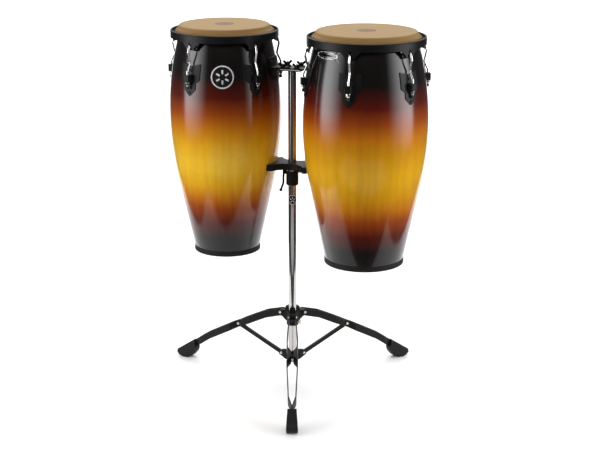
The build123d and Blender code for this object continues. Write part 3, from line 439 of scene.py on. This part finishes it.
@dataclass(frozen=True)
class MouldedRubber:
    """Matt black rubber with a fine moulded grain."""

    name: str
    colour: Colour = (0.007, 0.0068, 0.0065, 1)
    roughness: float = 0.6
    dust: float = 0.03

    def make(self) -> bpy.types.Material:
        """Builds the material."""
        r = Recipe(self.name)
        skin = r.group("powder_paint_skin", r.place, Scale=1500.0, Unevenness=40.0)
        dust = r.group("settled_dust", r.place, Amount=self.dust, Scale=90.0)
        bloom = r.maths("MULTIPLY_ADD", skin.outputs["Patch"], 1.5, 0.3, clamp=True)
        colour = r.blend(bloom, self.colour, (0.012, 0.012, 0.012, 1))
        r.feed("Base Color", r.blend(dust.outputs["Mask"], colour, (0.1, 0.095, 0.085, 1)))
        r.feed("Roughness", r.maths("MULTIPLY_ADD", skin.outputs["Patch"], 0.3, self.roughness))
        r.bump(skin.outputs["Height"], 0.35, 0.0005)
        r.set(Specular_IOR_Level=0.2)
        return r.material


@dataclass(frozen=True)
class SunburstLacquer:
    """Gloss lacquer on staves, shaded from near black at both ends through red brown to gold."""

    name: str
    x: float
    y: float
    low: float
    high: float
    ebony: Colour = (0.004, 0.002, 0.002, 1)
    oxblood: Colour = (0.085, 0.006, 0.0015, 1)
    russet: Colour = (0.29, 0.052, 0.003, 1)
    amber: Colour = (0.52, 0.165, 0.004, 1)
    gold: Colour = (0.71, 0.35, 0.01, 1)
    honey: Colour = (0.82, 0.48, 0.025, 1)

    def make(self) -> bpy.types.Material:
        """Builds the material."""
        r = Recipe(self.name)
        vector = r.centred(self.x, self.y)
        wood = r.group("barrel_timber", vector)
        cloud = r.noise(vector, 5.0, 3.0)
        span = self.high - self.low
        share = r.maths("DIVIDE", r.maths("SUBTRACT", r.height(vector), self.low), span)
        share = r.maths("MULTIPLY_ADD", r.maths("SUBTRACT", cloud, 0.5), 0.05, share)
        share = r.maths("MULTIPLY_ADD", r.maths("SUBTRACT", wood.outputs["Figure"], 0.5), 0.012, share)
        burst = r.ramp(share, (
            (0.085, self.ebony), (0.162, self.oxblood), (0.232, self.russet), (0.284, self.amber),
            (0.34, self.gold), (0.41, self.honey), (0.455, self.honey), (0.525, self.gold),
            (0.598, self.amber), (0.662, self.russet), (0.735, self.oxblood), (0.83, self.ebony),
        ))
        grain = r.maths("MULTIPLY_ADD", r.maths("SUBTRACT", wood.outputs["Figure"], 0.5), 0.24, 1.0)
        grain = r.maths("MULTIPLY_ADD", r.maths("SUBTRACT", wood.outputs["Pores"], 0.5), 0.16, grain)
        grain = r.maths("MULTIPLY_ADD", r.maths("SUBTRACT", wood.outputs["Stave"], 0.5), 0.07, grain)
        grain = r.maths("MULTIPLY_ADD", wood.outputs["Joint"], -0.07, grain)
        r.feed("Base Color", r.blend(1.0, burst, grain, "MULTIPLY"))
        marks = r.group("handling_marks", vector, Hairlines=160.0, Smudges=9.0)
        r.feed("Roughness", r.maths("MULTIPLY_ADD", marks.outputs["Smudge"], 0.08, 0.32))
        r.bump(wood.outputs["Pores"], 0.03, 0.0003)
        r.set(Coat_Weight=1.0, Coat_Roughness=0.09, Coat_IOR=1.4, Specular_IOR_Level=0.1)
        return r.material


@dataclass(frozen=True)
class BareTimber:
    """The unlacquered inside of a shell."""

    name: str
    x: float
    y: float
    colour: Colour = (0.2, 0.11, 0.05, 1)
    dark: Colour = (0.1, 0.05, 0.022, 1)

    def make(self) -> bpy.types.Material:
        """Builds the material."""
        r = Recipe(self.name)
        vector = r.centred(self.x, self.y)
        wood = r.group("barrel_timber", vector)
        colour = r.blend(wood.outputs["Figure"], self.dark, self.colour)
        r.feed("Base Color", r.blend(r.maths("MULTIPLY", wood.outputs["Joint"], 0.6), colour, self.dark))
        r.feed("Roughness", r.maths("MULTIPLY_ADD", wood.outputs["Pores"], 0.2, 0.6))
        r.bump(wood.outputs["Pores"], 0.3, 0.0006)
        return r.material


@dataclass(frozen=True)
class DrumSkin:
    """A tan skin with faint fibres, a darker turned edge and a plain ring printed in its middle."""

    name: str
    x: float
    y: float
    radius: float
    colour: Colour = (0.29, 0.18, 0.066, 1)
    pale: Colour = (0.36, 0.23, 0.092, 1)
    edge: Colour = (0.2, 0.115, 0.035, 1)
    print_ink: Colour = (0.05, 0.043, 0.032, 1)
    print_radius: float = 0.029
    print_gaps: tuple[tuple[float, float], ...] = ((0.0205, 0.0012), (0.011, 0.0014))

    def make(self) -> bpy.types.Material:
        """Builds the material; each gap of the print is given by its middle radius and half its width."""
        r = Recipe(self.name)
        vector = r.centred(self.x, self.y)
        parts = r.nodes.new("ShaderNodeSeparateXYZ")
        r.links.new(vector, parts.inputs[0])
        x_squared = r.maths("POWER", parts.outputs["X"], 2.0)
        y_squared = r.maths("POWER", parts.outputs["Y"], 2.0)
        distance = r.maths("SQRT", r.maths("ADD", x_squared, y_squared))
        mottle = r.noise(vector, 26.0, 8.0, 0.65)
        fibre = r.noise(vector, 900.0, 3.0)
        colour = r.blend(mottle, self.colour, self.pale)
        worn = r.maths("MULTIPLY", r.maths("SUBTRACT", distance, self.radius * 0.93), 1 / (self.radius * 0.1))
        colour = r.blend(r.maths("MULTIPLY", worn, 0.8, clamp=True), colour, self.edge)
        disc = r.maths("LESS_THAN", distance, self.print_radius)
        gaps = [
            r.maths("LESS_THAN", r.maths("ABSOLUTE", r.maths("SUBTRACT", distance, middle)), half)
            for middle, half in self.print_gaps
        ]
        ink = r.maths("SUBTRACT", disc, r.maths("ADD", *gaps), clamp=True)
        grainy = r.maths("MULTIPLY_ADD", fibre, 0.35, 0.55)
        r.feed("Base Color", r.blend(r.maths("MULTIPLY", ink, grainy, clamp=True), colour, self.print_ink))
        r.feed("Roughness", r.maths("MULTIPLY_ADD", mottle, 0.2, 0.4))
        r.bump(r.maths("MULTIPLY_ADD", mottle, 0.6, r.maths("MULTIPLY", fibre, 0.4)), 0.2, 0.0006)
        r.set(Specular_IOR_Level=0.1)
        return r.material


@dataclass(frozen=True)
class BadgeEnamel:
    """Gloss black enamel of a badge or a decal."""

    name: str
    colour: Colour = (0.006, 0.006, 0.007, 1)
    roughness: float = 0.16

    def make(self) -> bpy.types.Material:
        """Builds the material."""
        r = Recipe(self.name)
        marks = r.group("handling_marks", r.place, Hairlines=700.0, Smudges=70.0)
        smudge = r.maths("MULTIPLY", marks.outputs["Smudge"], 1.5, clamp=True)
        r.feed("Base Color", r.blend(smudge, self.colour, (0.014, 0.014, 0.016, 1)))
        r.feed("Roughness", r.maths("MULTIPLY_ADD", marks.outputs["Smudge"], 0.2, self.roughness))
        r.bump(marks.outputs["Lines"], 0.03, 0.0001)
        r.set(Coat_Weight=0.6, Coat_Roughness=0.08)
        return r.material


@dataclass(frozen=True)
class StudioFloor:
    """The even, faintly mottled surface of a sheet of studio floor."""

    name: str = "studio_floor"
    colour: Colour = (0.93, 0.93, 0.93, 1)

    def make(self) -> bpy.types.Material:
        """Builds the material."""
        r = Recipe(self.name)
        skin = r.group("powder_paint_skin", r.place, Scale=6.0, Unevenness=0.7)
        tone = r.maths("MULTIPLY_ADD", skin.outputs["Patch"], 0.02, 1.0)
        r.feed("Base Color", r.blend(1.0, self.colour, tone, "MULTIPLY"))
        r.set(Roughness=0.7, Specular_IOR_Level=0.15)
        return r.material


@dataclass(frozen=True)
class GlowingPanel:
    """The cloth of a large soft light, which fades out slowly on one side and quickly on the other."""

    name: str
    inner: float
    strength: float

    def make(self) -> bpy.types.Material:
        """Builds the material; inner is the sign of the cloth's own X on the side that fades slowly."""
        r = Recipe(self.name)
        parts = r.nodes.new("ShaderNodeSeparateXYZ")
        r.links.new(r.place, parts.inputs[0])
        across = r.maths("MULTIPLY", parts.outputs["X"], self.inner)
        up = r.maths("ABSOLUTE", parts.outputs["Y"])
        slow_side = r.fade(across, -0.2, 0.48)
        quick_side = r.fade(r.maths("MULTIPLY", across, -1.0), 0.3, 0.5)
        mask = r.maths("MULTIPLY", r.maths("MULTIPLY", slow_side, quick_side), r.fade(up, 0.18, 0.5))
        r.feed("Emission Strength", r.maths("MULTIPLY", mask, self.strength))
        r.set(Base_Color=(0, 0, 0, 1), Emission_Color=(1, 1, 1, 1), Specular_IOR_Level=0.0, Roughness=1.0)
        return r.material


# ---------------------------------------------------------------- modelling helpers
def start_clean() -> None:
    """Leaves edit mode and deselects everything."""
    if bpy.context.object and bpy.context.object.mode != "OBJECT":
        bpy.ops.object.mode_set(mode="OBJECT")
    bpy.ops.object.select_all(action="DESELECT")


def settle(piece: bpy.types.Object, angle: float = 40.0) -> None:
    """Puts a piece's place into its mesh and smooths its shallow edges."""
    start_clean()
    piece.select_set(True)
    bpy.context.view_layer.objects.active = piece
    bpy.ops.object.transform_apply(location=True, rotation=True, scale=True)
    bpy.ops.object.shade_smooth_by_angle(angle=math.radians(angle))
    piece.select_set(False)


def lathe(
    name: str, x: float, y: float, rings: Sequence[tuple[float, float]], segments: int, closed: bool
) -> bpy.types.Object:
    """Turns a profile by extruding and resizing one ring after another.

    Args:
        name: The piece's name.
        x: The axis's place along X.
        y: The axis's place along Y.
        rings: Radius and height of each ring.
        segments: Vertices of a ring.
        closed: Whether the last ring joins the first one; otherwise both ends close to a point.

    Returns:
        The finished piece.
    """
    start_clean()
    radius, z = rings[0]
    bpy.ops.mesh.primitive_circle_add(vertices=segments, radius=radius, location=(x, y, z))
    piece = bpy.context.object
    piece.name = name
    bpy.ops.object.mode_set(mode="EDIT")
    bpy.ops.mesh.select_all(action="SELECT")
    if not closed:
        bpy.ops.mesh.extrude_region_move()
        bpy.ops.mesh.merge(type="CENTER")
        bpy.ops.mesh.select_all(action="DESELECT")
        bpy.ops.mesh.select_non_manifold()
    for (r0, z0), (r1, z1) in zip(rings, rings[1:]):
        bpy.ops.mesh.extrude_region_move(TRANSFORM_OT_translate={"value": (0, 0, z1 - z0)})
        bpy.ops.transform.resize(value=(r1 / r0, r1 / r0, 1), center_override=(x, y, z1))
    if closed:
        bpy.ops.mesh.select_all(action="DESELECT")
        bpy.ops.mesh.select_non_manifold()
        bpy.ops.mesh.bridge_edge_loops()
    else:
        bpy.ops.mesh.extrude_region_move()
        bpy.ops.mesh.merge(type="CENTER")
    bpy.ops.mesh.select_all(action="SELECT")
    bpy.ops.mesh.normals_make_consistent(inside=False)
    bpy.ops.object.mode_set(mode="OBJECT")
    settle(piece)
    return piece


def reshape(piece: bpy.types.Object, rule: Callable[[Vector], Vector]) -> None:
    """Moves every vertex of a piece by a rule."""
    for vertex in piece.data.vertices:
        vertex.co = rule(vertex.co)
    piece.data.update()


def dress(piece: bpy.types.Object, *materials: bpy.types.Material) -> None:
    """Gives a piece its materials."""
    piece.data.materials.clear()
    for material in materials:
        piece.data.materials.append(material)


# ---------------------------------------------------------------- drums
@dataclass
class DrumForm:
    """The turned form of one shell, measured down from the rim's top edge, in millimetres.

    Attributes:
        side: The side of the pole that it hangs on.
        rim: The rim's radius.
        belly: The greatest radius.
        foot: The radius at the foot.
        belly_depth: Where the greatest radius is.
        upper_curve: The radius of the staves' bend above the belly.
        lower_curve: The radius of their bend below it, before they run straight to the foot.
        rim_top: The height of the rim's top edge above the floor.
        foot_depth: Where the foot is.
        wall: The thickness of the wall.
    """

    side: Side
    rim: float
    belly: float
    foot: float
    belly_depth: float
    upper_curve: float
    lower_curve: float
    rim_top: float = 1117.0
    foot_depth: float = 696.0
    wall: float = 11.0

    def radius_at(self, depth: float) -> float:
        """Returns the outer radius at a depth under the rim top."""
        rise = self.belly_depth - depth
        if rise > 0:
            return self.belly - self.upper_curve + math.sqrt(self.upper_curve**2 - rise**2)
        across = self.foot - (self.belly - self.lower_curve)
        down = self.foot_depth - self.belly_depth
        angle = math.atan2(down, across) - math.acos(self.lower_curve / math.hypot(across, down))
        bend_radius = self.belly - self.lower_curve * (1 - math.cos(angle))
        bend_depth = self.belly_depth + self.lower_curve * math.sin(angle)
        if depth < bend_depth:
            return self.belly - self.lower_curve + math.sqrt(self.lower_curve**2 - rise**2)
        share = (self.foot_depth - depth) / (self.foot_depth - bend_depth)
        return self.foot + (bend_radius - self.foot) * share

    def height(self, depth: float) -> float:
        """Returns the height of a depth, in metres."""
        return (self.rim_top - depth) * MM

    def radius_at_height(self, z: float) -> float:
        """Returns the outer radius at a height, both in metres."""
        return self.radius_at(self.rim_top - z / MM) * MM


@dataclass
class Conga:
    """One drum: shell and skin, and the tones of its lacquer; build_badges gives it its badge."""

    form: DrumForm
    tones: dict[str, Colour] = field(default_factory=dict)
    segments: int = 160
    body: str = field(init=False)
    x: float = field(init=False)
    y: float = field(init=False)

    def __post_init__(self) -> None:
        """Finds the drum's axis from its packed guard band."""
        low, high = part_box(f"guard_band_{self.form.side.value}")
        self.x, self.y = (low.x + high.x) / 2, (low.y + high.y) / 2
        self.body = f"drum_{self.form.side.value}"

    def build_shell(self) -> bpy.types.Object:
        """Turns the shell, rounds its edges and lacquers it outside only."""
        f = self.form
        last = int(f.foot_depth) - 4
        foot_z = f.rim_top - f.foot_depth
        foot_radius = f.radius_at(f.foot_depth)
        neck_radius = f.radius_at(-7.0)
        profile = [
            (foot_radius - 2.0, foot_z),
            (f.radius_at(last) - 0.4, foot_z + 1.2),
            *((f.radius_at(d), f.rim_top - d) for d in range(last, 0, -12)),
            (neck_radius, f.rim_top + 7.0),
            (neck_radius - 1.6, f.rim_top + 10.4),
            (neck_radius - 5.0, f.rim_top + 12.6),
            (neck_radius - f.wall, f.rim_top + 10.6),
            *((f.radius_at(d) - f.wall, f.rim_top - d) for d in range(0, last, 24)),
            (foot_radius - f.wall + 1.5, foot_z),
        ]
        rings = [(radius * MM, z * MM) for radius, z in profile]
        piece = lathe(f"shell_timber_{f.side.value}", self.x, self.y, rings, self.segments, True)
        lacquer = SunburstLacquer(
            f"sunburst_lacquer_{f.side.value}", self.x, self.y, foot_z * MM, f.rim_top * MM, **self.tones
        )
        bare = BareTimber(f"bare_timber_{f.side.value}", self.x, self.y)
        dress(piece, lacquer.make(), bare.make())
        for face in piece.data.polygons:
            out = Vector((face.center.x - self.x, face.center.y - self.y, 0))
            if face.normal.dot(out.normalized()) < INWARD:
                face.material_index = 1
        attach(piece, self.body)
        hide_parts(f"shell_{f.side.value}")
        return piece

    def build_skin(self) -> bpy.types.Object:
        """Turns the skin: nearly flat, rounded over the bearing edge and flaring to its hoop.

        Each ring is given by its radius and its depth under the skin's highest point, in millimetres.
        """
        f = self.form
        r, top = f.rim, f.rim_top + 15.0
        flat = ((2, 0.6), (40, 0.55), (r - 60, 0.35), (r - 40, 0.1), (r - 34, 0))
        bearing = ((r - 31, 0.25), (r - 28.8, 1.1), (r - 27.0, 2.6), (r - 25.9, 4.6))
        flare = ((r - 25.1, 7.2), (r - 22.0, 10.8), (r - 17.8, 14.6), (r - 14.8, 17.4))
        hem = ((r - 13.9, 24), (r - 13.3, 34.8), (r - 15.0, 34.8), (r - 16.2, 17.6))
        inside = ((r - 26.8, 7.2), (r - 28.9, 3.2), (r - 34, 1.9), (40, 2.2), (2, 2.2))
        profile = (*flat, *bearing, *flare, *hem, *inside)
        rings = [(radius * MM, (top - depth) * MM) for radius, depth in profile]
        piece = lathe(f"skin_{f.side.value}", self.x, self.y, rings, self.segments, False)
        dress(piece, DrumSkin(f"tan_skin_{f.side.value}", self.x, self.y, (r - 26) * MM).make())
        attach(piece, self.body)
        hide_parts(f"head_{f.side.value}")
        return piece


@dataclass
class Badge:
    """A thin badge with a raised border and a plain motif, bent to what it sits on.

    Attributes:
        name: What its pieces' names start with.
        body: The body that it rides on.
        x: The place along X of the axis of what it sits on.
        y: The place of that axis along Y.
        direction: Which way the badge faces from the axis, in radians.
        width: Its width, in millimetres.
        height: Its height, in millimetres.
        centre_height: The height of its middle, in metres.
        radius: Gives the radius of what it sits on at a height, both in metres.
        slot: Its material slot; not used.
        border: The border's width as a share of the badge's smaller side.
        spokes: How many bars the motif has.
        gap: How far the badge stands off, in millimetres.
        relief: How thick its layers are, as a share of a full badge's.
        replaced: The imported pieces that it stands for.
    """

    name: str
    body: str
    x: float
    y: float
    direction: float
    width: float
    height: float
    centre_height: float
    radius: Callable[[float], float]
    slot: str
    border: float = 0.055
    spokes: int = 6
    gap: float = 0.25
    relief: float = 1.0
    replaced: tuple[str, ...] = ()

    def bend(self, flat: Vector) -> Vector:
        """Carries a point of the flat badge, X across and Y up and Z outwards, onto its round seat."""
        z = self.centre_height + flat.y
        radius = self.radius(z) + self.gap * MM + flat.z * self.relief
        angle = self.direction + flat.x / self.radius(z)
        return Vector((self.x + radius * math.cos(angle), self.y + radius * math.sin(angle), z))

    def disc(self, name: str, share: float, low: float, high: float, segments: int = 72) -> bpy.types.Object:
        """Models a flat oval plate, ready to be bent."""
        start_clean()
        bpy.ops.mesh.primitive_circle_add(
            vertices=segments, radius=0.5, fill_type="NGON", location=(0, 0, low)
        )
        piece = bpy.context.object
        piece.name = name
        piece.scale = (self.width * MM * share, self.height * MM * share, 1)
        bpy.ops.object.transform_apply(location=True, rotation=False, scale=True)
        bpy.ops.object.mode_set(mode="EDIT")
        bpy.ops.mesh.select_all(action="SELECT")
        for _ in range(6):
            bpy.ops.mesh.inset(thickness=min(self.width, self.height) * MM * share / 16)
        bpy.ops.mesh.select_all(action="SELECT")
        bpy.ops.mesh.extrude_region_move(TRANSFORM_OT_translate={"value": (0, 0, high - low)})
        bpy.ops.mesh.select_all(action="SELECT")
        bpy.ops.mesh.normals_make_consistent(inside=False)
        bpy.ops.object.mode_set(mode="OBJECT")
        return piece

    def border_ring(self, name: str, low: float, high: float) -> bpy.types.Object:
        """Models the raised border as a flat ring with a bevelled upper edge."""
        start_clean()
        bpy.ops.mesh.primitive_circle_add(vertices=96, radius=0.5, location=(0, 0, low))
        piece = bpy.context.object
        piece.name = name
        band = 2 * self.border * min(self.width, self.height) / self.width
        bpy.ops.object.mode_set(mode="EDIT")
        bpy.ops.mesh.select_all(action="SELECT")
        steps = ((1.0, low), (1.0, high - EDGE_EASE), (1.0 - 0.1 * band, high),
                 (1.0 - 0.9 * band, high), (1.0 - band, high - EDGE_EASE), (1.0 - band, low))
        for (s0, z0), (s1, z1) in zip(steps, steps[1:]):
            bpy.ops.mesh.extrude_region_move(TRANSFORM_OT_translate={"value": (0, 0, z1 - z0)})
            bpy.ops.transform.resize(value=(s1 / s0, s1 / s0, 1), center_override=(0, 0, z1))
        bpy.ops.mesh.select_all(action="DESELECT")
        bpy.ops.mesh.select_non_manifold()
        bpy.ops.mesh.bridge_edge_loops()
        bpy.ops.mesh.select_all(action="SELECT")
        bpy.ops.mesh.normals_make_consistent(inside=False)
        bpy.ops.object.mode_set(mode="OBJECT")
        piece.scale = (self.width * MM, self.height * MM, 1)
        bpy.ops.object.transform_apply(location=False, rotation=False, scale=True)
        return piece

    def motif(self, name: str, low: float, high: float) -> list[bpy.types.Object]:
        """Models the plain motif: short rounded bars set round the middle."""
        made = []
        reach = min(self.width, self.height) * MM
        for k in range(self.spokes):
            start_clean()
            angle = 2 * math.pi * k / self.spokes + math.pi / 2
            middle = Vector((math.cos(angle), math.sin(angle), 0)) * reach * 0.22
            bpy.ops.mesh.primitive_cube_add(size=1, location=(middle.x, middle.y, (low + high) / 2))
            bar = bpy.context.object
            bar.name = f"{name}_{k + 1}"
            bar.scale = (reach * 0.17, reach * 0.075, high - low)
            bar.rotation_euler = (0, 0, angle)
            bpy.ops.object.transform_apply(location=True, rotation=True, scale=True)
            bpy.ops.object.mode_set(mode="EDIT")
            bpy.ops.mesh.select_all(action="SELECT")
            bpy.ops.mesh.bevel(offset=reach * 0.02, segments=3, affect="EDGES")
            bpy.ops.mesh.subdivide(number_cuts=2)
            bpy.ops.object.mode_set(mode="OBJECT")
            made.append(bar)
        return made

    def build(self, enamel: bpy.types.Material, metal: bpy.types.Material) -> list[bpy.types.Object]:
        """Models plate, border and motif, bends them and sets them on their body.

        Args:
            enamel: The plate's material.
            metal: The material of border and motif.

        Returns:
            The finished pieces.
        """
        plate = self.disc(f"{self.name}_plate", PLATE_SHARE, 0.0, PLATE_TOP)
        border = self.border_ring(f"{self.name}_border", 0.0, TRIM_TOP)
        bars = self.motif(f"{self.name}_bar", BAR_FOOT, TRIM_TOP)
        for piece, material in ((plate, enamel), (border, metal), *((bar, metal) for bar in bars)):
            reshape(piece, self.bend)
            dress(piece, material)
            settle(piece, 35)
            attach(piece, self.body)
        if self.replaced:
            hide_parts(*self.replaced)
        return [plate, border, *bars]


# ---------------------------------------------------------------- metalwork
@dataclass
class Metalwork:
    """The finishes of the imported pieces, by what their names start with."""

    nodes: dict[str, bpy.types.Object]

    def plan(self) -> list[tuple[tuple[str, ...], bpy.types.Material]]:
        """Builds the finishes and lists which pieces take each one."""
        chrome = PolishedMetal("polished_chrome", (0.56, 0.55, 0.54, 1), (0.47, 0.46, 0.44, 1)).make()
        rods = PolishedMetal("hook_chrome", roughness=0.12, marks=0.08, cap_height=0.9661).make()
        nickel = PolishedMetal(
            "nickel_hardware", (0.66, 0.62, 0.54, 1), (0.5, 0.46, 0.38, 1), roughness=0.22, marks=0.12
        ).make()
        rim = PowderPaint("satin_black_rim", roughness=0.38, peel=700.0).make()
        frame = PowderPaint("black_tube_paint", (0.006, 0.0052, 0.005, 1), 0.33, 1000.0, 0.02).make()
        cast = PowderPaint("black_casting_paint", (0.006, 0.0058, 0.006, 1), 0.42, 450.0, 0.03).make()
        rubber = MouldedRubber("black_rubber").make()
        small_parts = (
            "hub_rivets", "lower_rivets", "mid_rivet", "tuning_nut", "cradle_fasteners", "hub_thumb_screw",
            "plate_fasteners",
        )
        return [
            (("pole", "top_plate"), chrome),
            (("tuning_rods",), rods),
            (small_parts, nickel),
            (("rim", "lugs", "shell_screws", "hanging_bracket", "wing_nut", "flesh_hoop"), rim),
            (("leg", "brace"), frame),
            (("hub", "lower_collar", "cradle", "clamp_collar", "clamp_lever"), cast),
            (("foot", "cradle_pads", "guard_band"), rubber),
        ]

    def dress_all(self) -> int:
        """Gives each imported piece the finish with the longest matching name.

        Returns:
            How many pieces got one.
        """
        finishes = [(start, material) for starts, material in self.plan() for start in starts]
        done = 0
        for name, node in self.nodes.items():
            matching = [(len(start), material) for start, material in finishes if name.startswith(start)]
            if not matching:
                continue
            dress(node, max(matching, key=lambda pair: pair[0])[1])
            done += 1
        return done


# ---------------------------------------------------------------- studio
@dataclass
class Studio:
    """Floor, soft lights and camera.

    Attributes:
        pole: The foot of the stand's pole.
        lens: The camera's focal length, in millimetres.
        reach: Where the camera stands, from the pole's foot.
        pitch: How far the camera looks down, in degrees.
    """

    pole: Vector
    lens: float = 86.0
    reach: Vector = field(default_factory=lambda: Vector((0.0236, -4.2849, 1.7586)))
    pitch: float = 16.2

    def sheet(
        self, finish: StudioFloor, near: float, far: float, widths: tuple[float, float]
    ) -> bpy.types.Object:
        """Lays one sheet of floor.

        Args:
            finish: Its surface.
            near: Where it starts along Y.
            far: Where it ends along Y.
            widths: Half its width at the near end and at the far end.

        Returns:
            The sheet.
        """
        start_clean()
        bpy.ops.mesh.primitive_plane_add(size=2, location=(0, 0, 0))
        plane = bpy.context.object
        plane.name = finish.name
        for vertex in plane.data.vertices:
            end = vertex.co.y > 0
            vertex.co = Vector((vertex.co.x * widths[end], far if end else near, 0))
        dress(plane, finish.make())
        return plane

    def floor(self) -> None:
        """Lays a narrow sheet under the stand, a grey sheet of painted floor shade seen only as a reflection,
        and a wide apron below.
        """
        self.sheet(StudioFloor(), near=-0.56, far=16.0, widths=(0.95, 4.9))
        # Painted shade: a grey sheet in front of the stand, hidden from the camera and seen only in
        # reflections, stands for shaded floor there.
        shade_finish = StudioFloor("painted_floor_shade", (0.45, 0.45, 0.45, 1))
        shade_sheet = self.sheet(shade_finish, near=-2.0, far=-1.0, widths=(1.2, 1.2))
        shade_sheet.visible_camera = False
        shade_sheet.visible_shadow = False
        shade_sheet.visible_diffuse = False
        apron = self.sheet(StudioFloor("studio_apron"), near=-14.0, far=18.0, widths=(16.0, 16.0))
        apron.location.z = -0.5 * MM
        apron.visible_diffuse = False
        apron.visible_glossy = False

    def light(
        self, name: str, place: Sequence[float], aim: Sequence[float], size: tuple[float, float], power: float
    ) -> None:
        """Hangs one rectangular soft light.

        Args:
            name: The light's name.
            place: Where it hangs.
            aim: What it looks at.
            size: Width and height.
            power: Its power in watts.
        """
        data = bpy.data.lights.new(name, "AREA")
        data.shape = "RECTANGLE"
        data.size, data.size_y = size
        data.energy = power
        lamp = bpy.data.objects.new(name, data)
        bpy.context.scene.collection.objects.link(lamp)
        lamp.location = place
        lamp.rotation_mode = "QUATERNION"
        lamp.rotation_quaternion = (Vector(aim) - Vector(place)).to_track_quat("-Z", "Y")

    def panel(self, name: str, place: Sequence[float], inner: float, strength: float) -> None:
        """Stands one large glowing cloth upright beside the drums, seen only as a reflection.

        Args:
            name: The cloth's name.
            place: Where its middle stands.
            inner: The sign of its own X on the side that fades slowly.
            strength: How strongly it glows.
        """
        start_clean()
        bpy.ops.mesh.primitive_plane_add(size=1, location=place)
        cloth = bpy.context.object
        cloth.name = name
        cloth.scale = (3.0, 2.7, 1)
        cloth.rotation_mode = "QUATERNION"
        cloth.rotation_quaternion = Vector((-place[0], -place[1], 0)).to_track_quat("-Z", "Y")
        dress(cloth, GlowingPanel(f"{name}_cloth", inner, strength).make())
        cloth.visible_camera = False

    def lights(self) -> None:
        """Hangs the lights and sets the even light of the room."""
        for name, side in (("panel_left", -1.0), ("panel_right", 1.0)):
            self.panel(name, (2.5 * side, -1.1, 1.25), inner=-side, strength=7.0)
        self.light("front_top", (0, -3.0, 3.6), aim=(0, 0, 0.75), size=(2.4, 1.2), power=50)
        self.light("overhead", (0, 1.2, 3.2), aim=(0, 1.2, 0), size=(4.5, 3.0), power=64)
        self.light("backdrop", (0, 7.5, 5.0), aim=(0, 7.5, 0), size=(14.0, 8.0), power=1150)
        bpy.context.scene.view_settings.view_transform = "Standard"
        world = bpy.data.worlds.new("room")
        bpy.context.scene.world = world
        world.use_nodes = True
        backing = world.node_tree.nodes["Background"]
        backing.inputs["Color"].default_value = (1, 1, 1, 1)
        backing.inputs["Strength"].default_value = 0.07

    def camera(self) -> None:
        """Sets up the camera."""
        data = bpy.data.cameras.new("camera")
        data.lens = self.lens
        data.sensor_width = 36.0
        camera = bpy.data.objects.new("camera", data)
        bpy.context.scene.collection.objects.link(camera)
        camera.location = self.pole + self.reach
        camera.rotation_euler = (math.radians(90 - self.pitch), 0, 0)
        bpy.context.scene.camera = camera


def build_badges(left: Conga, right: Conga, pole: Vector) -> None:
    """Makes the round badge, the oval badge and the decal on the pole.

    Args:
        left: The drum with the round badge.
        right: The drum with the oval badge.
        pole: The foot of the pole, whose decal is thin enough for the clamp to slide over.
    """
    enamel = BadgeEnamel("badge_enamel").make()
    silver = PolishedMetal(
        "badge_silver", (0.8, 0.8, 0.81, 1), (0.68, 0.68, 0.68, 1), roughness=0.3, marks=0.08, metallic=0.25
    ).make()
    round_badge = Badge(
        "badge_round", left.body, left.x, left.y, math.radians(-90), width=68, height=68,
        centre_height=left.form.height(121), radius=left.form.radius_at_height, slot="badge",
        replaced=("badge_left",),
    )
    oval_badge = Badge(
        "badge_oval", right.body, right.x, right.y, math.radians(222), width=84, height=20,
        centre_height=right.form.height(42), radius=right.form.radius_at_height, slot="badge",
        border=0.17, spokes=0, replaced=("badge_right",),
    )
    decal = Badge(
        "pole_decal", "stand", pole.x, pole.y, math.radians(-88), width=30, height=30,
        centre_height=0.598, radius=lambda z: POLE_RADIUS, slot="badge",
        border=0.04, spokes=5, gap=0.02, relief=0.085,
    )
    for badge in (round_badge, oval_badge, decal):
        LOG.info("%s: %d pieces", badge.name, len(badge.build(enamel, silver)))


def main() -> None:
    """Builds and dresses everything, in order."""
    logging.basicConfig(level=logging.INFO, format="%(name)s: %(message)s")
    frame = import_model()
    for make_group in (powder_group, dust_group, scratch_group, timber_group):
        LOG.info("shader group %s", make_group().name)
    low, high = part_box("pole")
    pole = Vector(((low.x + high.x) / 2, (low.y + high.y) / 2, 0))
    studio = Studio(pole)
    studio.camera()
    studio.floor()
    studio.lights()
    LOG.info("finishes on %d packed pieces", Metalwork(frame["nodes"]).dress_all())
    left = Conga(DrumForm(
        Side.LEFT, rim=165.0, belly=172.0, foot=99.0, belly_depth=250.0, upper_curve=860.0, lower_curve=1062.0
    ))
    right = Conga(
        DrumForm(
            Side.RIGHT, rim=178.0, belly=188.8, foot=117.5, belly_depth=265.0, upper_curve=906.0,
            lower_curve=885.0,
        ),
        tones={"gold": (0.62, 0.28, 0.004, 1), "honey": (0.72, 0.37, 0.009, 1)},
    )
    for conga in (left, right):
        LOG.info("%s", conga.build_shell().name)
        LOG.info("%s", conga.build_skin().name)
    build_badges(left, right, pole)


if __name__ == "__main__":
    main()
